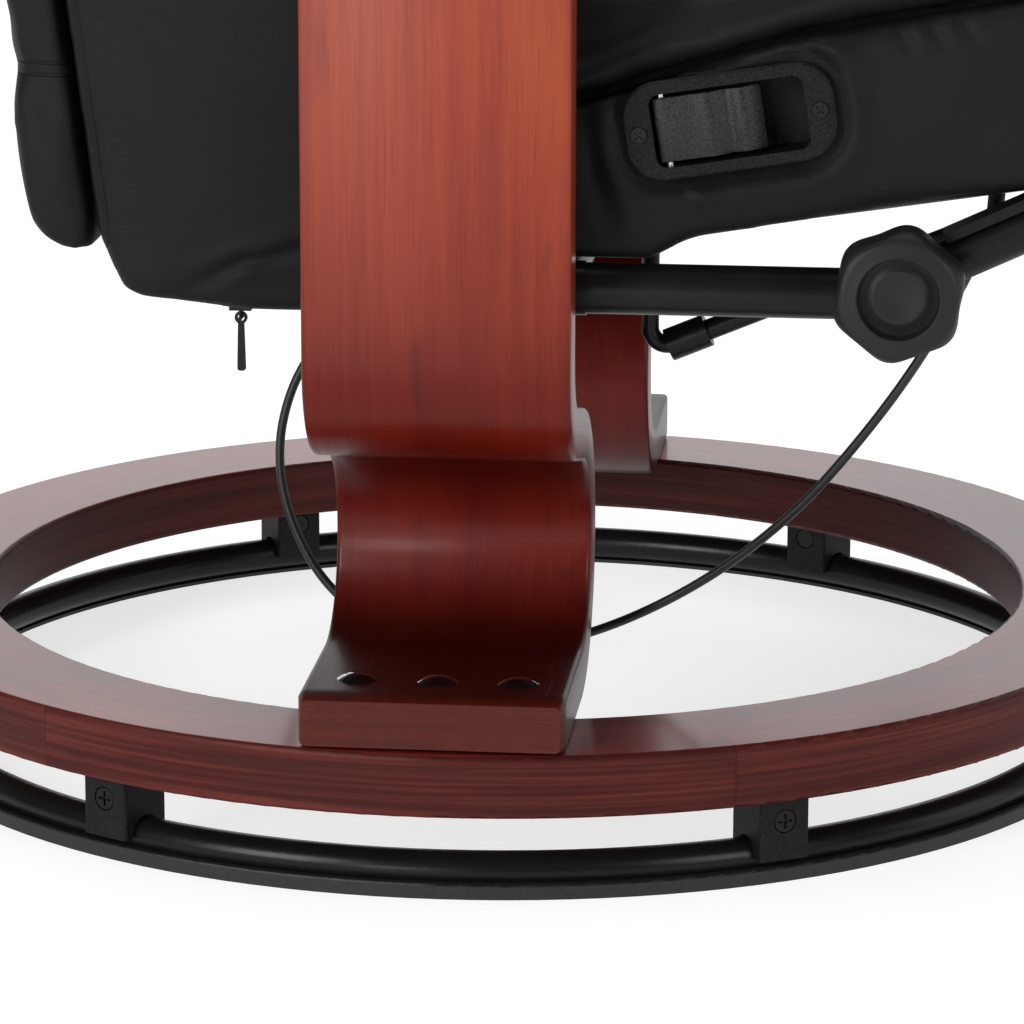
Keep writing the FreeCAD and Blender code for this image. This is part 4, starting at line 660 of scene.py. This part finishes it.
def soft_copy(name, voxel, shrink=0.0):
    """A node's solid as an even mesh with softened edges, drawn in by a little."""
    piece = link(name + "_cover", nodes[name].data.copy())
    remesh = piece.modifiers.new("even_mesh", "REMESH")
    remesh.mode = "VOXEL"
    remesh.voxel_size = voxel
    bake_modifiers(piece)
    smooth = piece.modifiers.new("soften", "SMOOTH")
    smooth.factor = 0.5
    smooth.iterations = soften_steps
    bake_modifiers(piece)
    if shrink:
        put_corners(piece.data, corners_of(piece.data) - shrink * normals_of(piece.data))
    return piece


cloth_frames = 16


def puff(piece, pressure, cap, sewn_side):
    """Inflates the cover as far as a cap allows. Its sewn side, which faces a way, is held."""
    start = corners_of(piece.data)
    way, lean = sewn_side
    held = normals_of(piece.data) @ np.array(way) > lean
    group = piece.vertex_groups.new(name="sewn")
    group.add([int(index) for index in np.nonzero(held)[0]], 1.0, "REPLACE")
    cloth = piece.modifiers.new("puff", "CLOTH")
    settings = cloth.settings
    settings.quality = 4
    settings.mass = 0.25
    settings.tension_stiffness = 12
    settings.compression_stiffness = 12
    settings.shear_stiffness = 6
    settings.bending_stiffness = 0.4
    settings.use_pressure = True
    settings.uniform_pressure_force = pressure
    settings.vertex_group_mass = "sewn"
    settings.effector_weights.gravity = 0
    cloth.point_cache.frame_start = 1
    cloth.point_cache.frame_end = cloth_frames
    scene = bpy.context.scene
    for number in range(1, cloth_frames + 1):
        scene.frame_set(number)
    bake_modifiers(piece)
    scene.frame_set(1)
    piece.vertex_groups.clear()
    moved = corners_of(piece.data) - start
    reach = np.linalg.norm(moved, axis=1)
    share = np.minimum(1.0, cap / np.maximum(reach, 1e-9))
    put_corners(piece.data, start + moved * share[:, None])


def finer(piece):
    subdivide = piece.modifiers.new("finer", "SUBSURF")
    subdivide.levels = 1
    subdivide.render_levels = 1
    return bake_modifiers(piece)


def finish_soft(piece, name):
    for polygon in piece.data.polygons:
        polygon.use_smooth = True
    stand_for(piece, name)


def line_distance(places, line):
    """Distance of 2-D places from a polyline, and how far along it the nearest spot is, 0 to 1."""
    best = np.full(len(places), 1e9)
    share = np.zeros(len(places))
    lengths = [math.dist(a, b) for a, b in zip(line, line[1:])]
    total = sum(lengths)
    passed = 0.0
    for start, end, length in zip(line, line[1:], lengths):
        way = (np.array(end) - start) / length
        along = np.clip((places - start) @ way, 0, length)
        gap = np.linalg.norm(places - start - along[:, None] * way, axis=1)
        nearer = gap < best
        best[nearer] = gap[nearer]
        share[nearer] = (passed + along[nearer]) / total
        passed += length
    return best, share


def fold(places, line, width):
    """1 on a crease line, falling to 0 beside it and towards its ends."""
    gap, share = line_distance(places, line)
    return np.exp(-(gap / width) ** 2) * np.sin(np.pi * np.clip(share, 0.04, 0.96)) ** 0.5


def paint(data, name, values):
    layer = data.attributes.new(name, "FLOAT", "POINT")
    layer.data.foreach_set("value", values.astype(np.float32))


crease_strength = 1.5
crown_height = 1.6 * mm
crown_reach = 22 * mm
border_sink = 1.2 * mm
border_reach = 3.5 * mm


def side_relief(places, outline, creases, dents):
    """Outward offset of a side panel's face: a soft crown, creases and sunk seams."""
    gap, _ = line_distance(places, outline)
    offset = crown_height * (1 - np.exp(-gap / crown_reach))
    offset -= border_sink * np.exp(-(gap / border_reach) ** 2)
    for depth, width, line in creases:
        offset += crease_strength * depth * fold(places, line, width)
    for depth, width, line in dents:
        distance, _ = line_distance(places, line)
        offset += depth * np.exp(-(distance / width) ** 2)
    return offset


# Outlines of the side panels in the side view: forward and up, in metres
seat_seam = [(-0.030, 0.366), (0.064, 0.384), (0.171, 0.419), (0.277, 0.438), (0.372, 0.452)]
seat_side_outline = closed([
    (-0.030, 0.309), (0.100, 0.3085), (0.118, 0.319), (0.258, 0.3443), (0.282, 0.345),
    (0.372, 0.387)] + seat_seam[::-1])
back_side_outline = closed([
    (-0.060, 0.279), (-0.050, 0.366), (-0.066, 0.500), (-0.272, 1.000), (-0.361, 1.000),
    (-0.196, 0.500), (-0.173, 0.315), (-0.1586, 0.2855), (-0.1016, 0.279)])

handle_place = (0.138, 0.37867)
handle_tilt = math.radians(9.2)


def on_plate(along, up):
    """Where a spot of the tilted handle plate lies in the side view."""
    return (
        handle_place[0] + along * math.cos(handle_tilt) - up * math.sin(handle_tilt),
        handle_place[1] + along * math.sin(handle_tilt) + up * math.cos(handle_tilt))


def handle_line(length, height, corner):
    """Rounded rectangle round the handle's middle, in the side view."""
    return closed([on_plate(*spot) for spot in rounded_rectangle(length, height, corner)])


# Creases: how far each stands out, its width and the line that it follows in the side view
seat_creases = [
    (-1.6 * mm, 3.0 * mm, [(0.158, 0.424), (0.171, 0.416), (0.190, 0.405)]),
    (1.0 * mm, 4.0 * mm, [(0.166, 0.426), (0.180, 0.418), (0.198, 0.410)]),
    (-1.8 * mm, 2.6 * mm, [(0.213, 0.434), (0.217, 0.424), (0.225, 0.414)]),
    (-1.8 * mm, 2.6 * mm, [(0.229, 0.436), (0.232, 0.426), (0.240, 0.417)]),
    (-1.6 * mm, 2.6 * mm, [(0.243, 0.437), (0.247, 0.429), (0.254, 0.420)]),
    (1.4 * mm, 3.0 * mm, [(0.222, 0.434), (0.225, 0.425), (0.233, 0.415)]),
    (1.2 * mm, 3.0 * mm, [(0.236, 0.436), (0.240, 0.427), (0.247, 0.418)]),
    (-0.7 * mm, 2.0 * mm, [(0.190, 0.404), (0.200, 0.399), (0.214, 0.388)]),
    (-0.7 * mm, 2.0 * mm, [(0.192, 0.397), (0.203, 0.391), (0.214, 0.379)]),
    (1.6 * mm, 8.0 * mm, [(0.080, 0.383), (0.083, 0.359), (0.088, 0.339), (0.097, 0.320)]),
    (-1.2 * mm, 5.0 * mm, [(0.070, 0.380), (0.073, 0.350), (0.080, 0.325)]),
    (-0.8 * mm, 2.6 * mm, [(0.112, 0.347), (0.119, 0.340), (0.126, 0.330)]),
    (0.8 * mm, 3.0 * mm, [(0.117, 0.349), (0.125, 0.341), (0.133, 0.331)]),
]
back_creases = [
    (-2.2 * mm, 4.5 * mm, [(-0.134, 0.286), (-0.110, 0.299), (-0.098, 0.305), (-0.060, 0.314)]),
    (1.4 * mm, 5.0 * mm, [(-0.118, 0.302), (-0.100, 0.311), (-0.064, 0.320)]),
    (1.0 * mm, 3.0 * mm, [(-0.106, 0.296), (-0.098, 0.300), (-0.088, 0.303)]),
    (0.9 * mm, 3.0 * mm, [(-0.096, 0.308), (-0.088, 0.310), (-0.078, 0.311)]),
    (-1.2 * mm, 9.0 * mm, [(-0.120, 0.283), (-0.092, 0.290), (-0.060, 0.296)]),
]

back_rear_seam = [(-0.361, 1.000), (-0.196, 0.500), (-0.173, 0.315)]
seam_round_reach = 42 * mm
seam_round_depth = 5 * mm
seam_groove_depth = 0.6 * mm
seam_groove_reach = 2 * mm


def seam_relief(gap):
    """How a panel falls away towards its piped seam, with a groove under the stitches."""
    share = np.clip(1 - gap / seam_round_reach, 0, 1)
    groove = seam_groove_depth * np.exp(-((gap - stitch_offset) / seam_groove_reach) ** 2)
    return -seam_round_depth * share ** 2 - groove


panel_voxel = 5 * mm
panel_inner_face = 262 * mm
panel_relief_depth = 14 * mm
strain_reach = 18 * mm
slack_strain = 0.25


def make_side_panel(name, side, outline, creases, dents=(), rear_seam=None):
    """A padded side panel, whose relief fades out from its outer face to its inner face."""
    piece = finer(soft_copy(name, panel_voxel))
    places = corners_of(piece.data)
    flat = places[:, [0, 2]]
    outward = np.clip((side * places[:, 1] - panel_inner_face) / panel_relief_depth, 0, 1)
    outward = outward * outward * (3 - 2 * outward)
    offset = side_relief(flat, outline, creases, dents)
    if rear_seam:
        seam_gap, _ = line_distance(flat, rear_seam)
        offset += seam_relief(seam_gap)
        paint(piece.data, "edge_gap", seam_gap)
    places[:, 1] += side * offset * outward
    gap, _ = line_distance(flat, outline)
    put_corners(piece.data, places)
    paint(piece.data, "strain", slack_strain + (1 - slack_strain) * np.exp(-gap / strain_reach))
    finish_soft(piece, name)


cushion_voxel = 8 * mm
cushion_shrink = 2 * mm
cushion_swell = 14 * mm
arm_pad_voxel = 6 * mm
arm_pad_swell = 6 * mm
core_voxel = 12 * mm


def make_cushion(name, sewn_side, voxel=cushion_voxel, pressure=4, swell=cushion_swell):
    """A cover that starts a little smaller than its solid and swells by a pressure."""
    piece = soft_copy(name, voxel, cushion_shrink)
    puff(piece, pressure, swell, sewn_side)
    finer(piece)
    finish_soft(piece, name)


rear_swell = 4 * mm
band_height = 395.5 * mm
band_groove_depth = 1 * mm
band_groove_reach = 6 * mm
band_stitch_offset = 3 * mm
waist_fill = 6.5 * mm
waist_reach = 22 * mm
rearward_gain = 1.6


def make_rear_panel():
    """The back's outer cover, smooth over its waist, with a double row of stitches round it."""
    piece = soft_copy("rear_panel", cushion_voxel, cushion_shrink)
    puff(piece, 1.2, rear_swell, ((1, 0, 0), 0.5))
    finer(piece)
    places = corners_of(piece.data)
    rearward = np.clip(-rearward_gain * normals_of(piece.data)[:, 0], 0, 1)
    above_band = places[:, 2] - band_height
    fill = waist_fill * np.exp(-(above_band / waist_reach) ** 2)
    groove = band_groove_depth * np.exp(-(above_band / band_groove_reach) ** 2)
    places[:, 0] -= rearward * (fill - groove)
    put_corners(piece.data, places)
    paint(piece.data, "edge_gap", np.abs(above_band) + stitch_offset - band_stitch_offset)
    finish_soft(piece, "rear_panel")


def make_soft_pieces():
    ring_dent = (-2.4 * mm, 3.5 * mm, handle_line(0.108, 0.054, 0.0205))
    ring_swell = (1.6 * mm, 6.0 * mm, handle_line(0.122, 0.068, 0.027))
    pocket = (-6.0 * mm, 12.0 * mm, handle_line(0.070, 0.030, 0.008))
    handle_dents = {"left": (), "right": (ring_dent, ring_swell, pocket)}
    for word, side in sides.items():
        make_side_panel(
            "seat_side_" + word, side, seat_side_outline, seat_creases, dents=handle_dents[word])
        make_side_panel(
            "back_side_" + word, side, back_side_outline, back_creases, rear_seam=back_rear_seam)
        make_cushion(
            "arm_pad_" + word, ((0, 0, -1), 0.5), arm_pad_voxel, pressure=3, swell=arm_pad_swell)
    make_cushion("seat_cushion", ((0.2, 0, -1), 0.5))
    make_rear_panel()
    for name in ("lumbar_cushion", "upper_cushion", "head_cushion"):
        make_cushion(name, ((-1, 0, 0), 0.4))
    for name in ("seat_core", "back_core"):
        finish_soft(soft_copy(name, core_voxel), name)


# Handle flap with a ridge and a finger groove across it and a curled front lip

side_face = 283 * mm
flap_rear = -36 * mm
flap_front = 16 * mm
flap_half_height = 15.7 * mm
flap_top = 1.2 * mm
flap_thickness = 3.6 * mm
flap_round = 0.8 * mm
flap_steps = 40
ridge_place = -9.5 * mm
ridge_reach = 4.5 * mm
ridge_height = 1.1 * mm
groove_place = -0.5 * mm
groove_reach = 4.2 * mm
groove_depth = 2.4 * mm
curl_start = 6 * mm
curl_drop = 6 * mm
rear_reach = 5 * mm
rear_drop = 1.6 * mm
flap_bevel_angle = math.radians(50)


def handle_spot(along, up, outward):
    """A place in the handle's own frame: along the plate, up the plate, out of the seat."""
    forward, height = on_plate(along, up)
    return forward, -side_face - outward, height


def flap_face(along):
    """How far the flap's outer face stands out of the seat's side."""
    ridge = ridge_height * math.exp(-((along - ridge_place) / ridge_reach) ** 2)
    groove = groove_depth * math.exp(-((along - groove_place) / groove_reach) ** 2)
    curl = curl_drop * (max(0.0, along - curl_start) / (flap_front - curl_start)) ** 2
    rear = rear_drop * (max(0.0, flap_rear + rear_reach - along) / rear_reach) ** 2
    return flap_top + ridge - groove - curl - rear


def make_flap():
    """The flap's section, stretched over its height, with its edges softened."""
    spots = [flap_rear + (flap_front - flap_rear) * step / flap_steps for step in range(flap_steps + 1)]
    outer = [(along, flap_face(along)) for along in spots]
    curl = [flap_face(along) - flap_top if along > curl_start else 0.0 for along in spots]
    inner = [(along, flap_top - flap_thickness + drop) for along, drop in zip(spots, curl)]
    profile = outer + inner[::-1]
    mesh = bmesh.new()
    ends = [
        [mesh.verts.new(handle_spot(along, up, outward)) for along, outward in profile]
        for up in (-flap_half_height, flap_half_height)]
    bridge(mesh, ends)
    for low in range(flap_steps):
        high = len(profile) - 1 - low
        for end in ends:
            mesh.faces.new((end[low], end[low + 1], end[high - 1], end[high]))
    bmesh.ops.recalc_face_normals(mesh, faces=mesh.faces)
    piece = piece_from(mesh, "handle_flap_face")
    bevel = piece.modifiers.new("soft_edges", "BEVEL")
    bevel.width = flap_round
    bevel.segments = 3
    bevel.limit_method = "ANGLE"
    bevel.angle_limit = flap_bevel_angle
    bake_modifiers(piece)
    smooth_by_angle(piece, sharp_angle)
    stand_for(piece, "handle_flap", "flap_plastic")


# Clamp knobs: a round turned face, lobes down the flank, a deep dish and a hollowed button

pivot_place = (221 * mm, 300 * mm)
knob_hub_face = 283.95 * mm
knob_inner_face = 292.3 * mm
knob_outer_face = 317.5 * mm
knob_lobe_rise = 1.5 * mm
knob_lobes = 6
knob_phase = math.radians(21)
knob_steps = 144
knob_sharp_angle = 50
knob_hub_radius = 11 * mm
knob_bore_radius = 4.4 * mm
knob_bore_end = 306.5 * mm
face_edge_radius = 27.5 * mm
lobe_fade_depth = 7 * mm

# Radius and depth below the outer face in millimetres, from the flank to the button's middle
knob_face_line = [
    (31.1, 9.0), (31.0, 7.0), (30.6, 5.0), (30.0, 3.4), (29.2, 2.1), (28.2, 1.1), (27.0, 0.5),
    (25.5, 0.25), (21.2, 0.2), (20.6, 0.0), (20.1, 0.0), (19.8, 0.2), (19.6, 1.0), (19.4, 3.5),
    (19.1, 5.8), (18.5, 6.6), (17.0, 6.5), (14.8, 5.6), (13.3, 4.7), (12.8, 4.4), (12.3, 4.35),
    (10.5, 4.6), (7.0, 5.1), (3.5, 5.4), (1.0, 5.45)]

# Radius and height above the inner face, round the back's edge
knob_back_line = [(29.4, 0.0), (30.4, 1.2), (31.0, 3.0), (31.1, 6.0)]


def knob_radius_at(radius, outward, turn):
    """Radius with the lobes, which grow down the flank from the round face."""
    if radius <= face_edge_radius:
        return radius
    share = min(1.0, (knob_outer_face - outward) / lobe_fade_depth)
    return radius + share * knob_lobe_rise * math.cos(knob_lobes * (turn - knob_phase))


def make_knob(word):
    """A knob turned from its bore, over its back and flank, to the middle of its face."""
    profile = [
        (knob_bore_radius, knob_bore_end), (knob_bore_radius, knob_hub_face),
        (knob_hub_radius, knob_hub_face), (knob_hub_radius, knob_inner_face)]
    profile += [(radius * mm, knob_inner_face + rise * mm) for radius, rise in knob_back_line]
    profile += [(radius * mm, knob_outer_face - fall * mm) for radius, fall in knob_face_line]
    mesh = bmesh.new()
    rings = []
    for radius, outward in profile:
        ring = []
        for step in range(knob_steps):
            turn = 2 * math.pi * step / knob_steps
            reach = knob_radius_at(radius, outward, turn)
            ring.append(mesh.verts.new((
                pivot_place[0] + reach * math.cos(turn), sides[word] * outward,
                pivot_place[1] + reach * math.sin(turn))))
        rings.append(ring)
    bridge(mesh, rings)
    mesh.faces.new(rings[0])
    mesh.faces.new(rings[-1])
    bmesh.ops.recalc_face_normals(mesh, faces=mesh.faces)
    piece = piece_from(mesh, "knob_" + word + "_moulding")
    smooth_by_angle(piece, knob_sharp_angle)
    stand_for(piece, "knob_" + word)


# Studio: pale floor and soft light

floor_radius = 18.0
sky_strength = 0.12


def make_floor():
    mesh = bmesh.new()
    bmesh.ops.create_circle(mesh, cap_ends=True, segments=96, radius=floor_radius)
    floor = piece_from(mesh, "studio_floor")
    floor.data.materials.append(floor_paint())


def make_light(name, place, aim, width, height, brightness):
    """A soft box that aims at a place. Its brightness is what its front shows."""
    data = bpy.data.lights.new(name, "AREA")
    data.shape = "RECTANGLE"
    data.size = width
    data.size_y = height
    data.energy = brightness * math.pi * width * height
    lamp = link(name, data)
    way = Vector(aim) - Vector(place)
    lamp.matrix_world = Matrix.Translation(place) @ way.to_track_quat("-Z", "Y").to_matrix().to_4x4()


def make_studio():
    make_floor()
    scene = bpy.context.scene
    world = bpy.data.worlds.new("studio_sky")
    world.use_nodes = True
    sky = world.node_tree.nodes["Background"]
    sky.inputs["Color"].default_value = (1.0, 1.0, 1.0, 1.0)
    sky.inputs["Strength"].default_value = sky_strength
    scene.world = world
    scene.view_settings.view_transform = "Standard"
    seat_middle = (0.0, 0.0, 0.35)
    upright_middle = (0.0, -0.3, 0.5)
    back_middle = (0.1, 0.0, 0.7)
    make_light("left_box", (-1.75, -2.5, 1.15), seat_middle, 1.0, 1.4, 14.0)
    make_light("right_box", (2.15, -2.1, 1.15), seat_middle, 1.0, 1.4, 6.5)
    make_light("low_left_box", (-0.58, -2.5, 0.36), upright_middle, 0.45, 0.55, 9.0)
    make_light("top_box", (0.0, 0.4, 2.8), seat_middle, 2.4, 2.4, 2.4)
    make_light("back_box", (0.2, 3.6, 1.15), back_middle, 7.0, 1.9, 1.25)
    make_light("side_box", (2.8, 0.2, 0.8), seat_middle, 1.2, 1.4, 1.6)


make_camera()
make_cable()
for node_name, node_piece in nodes.items():
    dress(node_piece, slots[node_name])
for word in sides:
    make_upright(word)
make_soft_pieces()
make_flap()
for word in sides:
    make_knob(word)
make_studio()
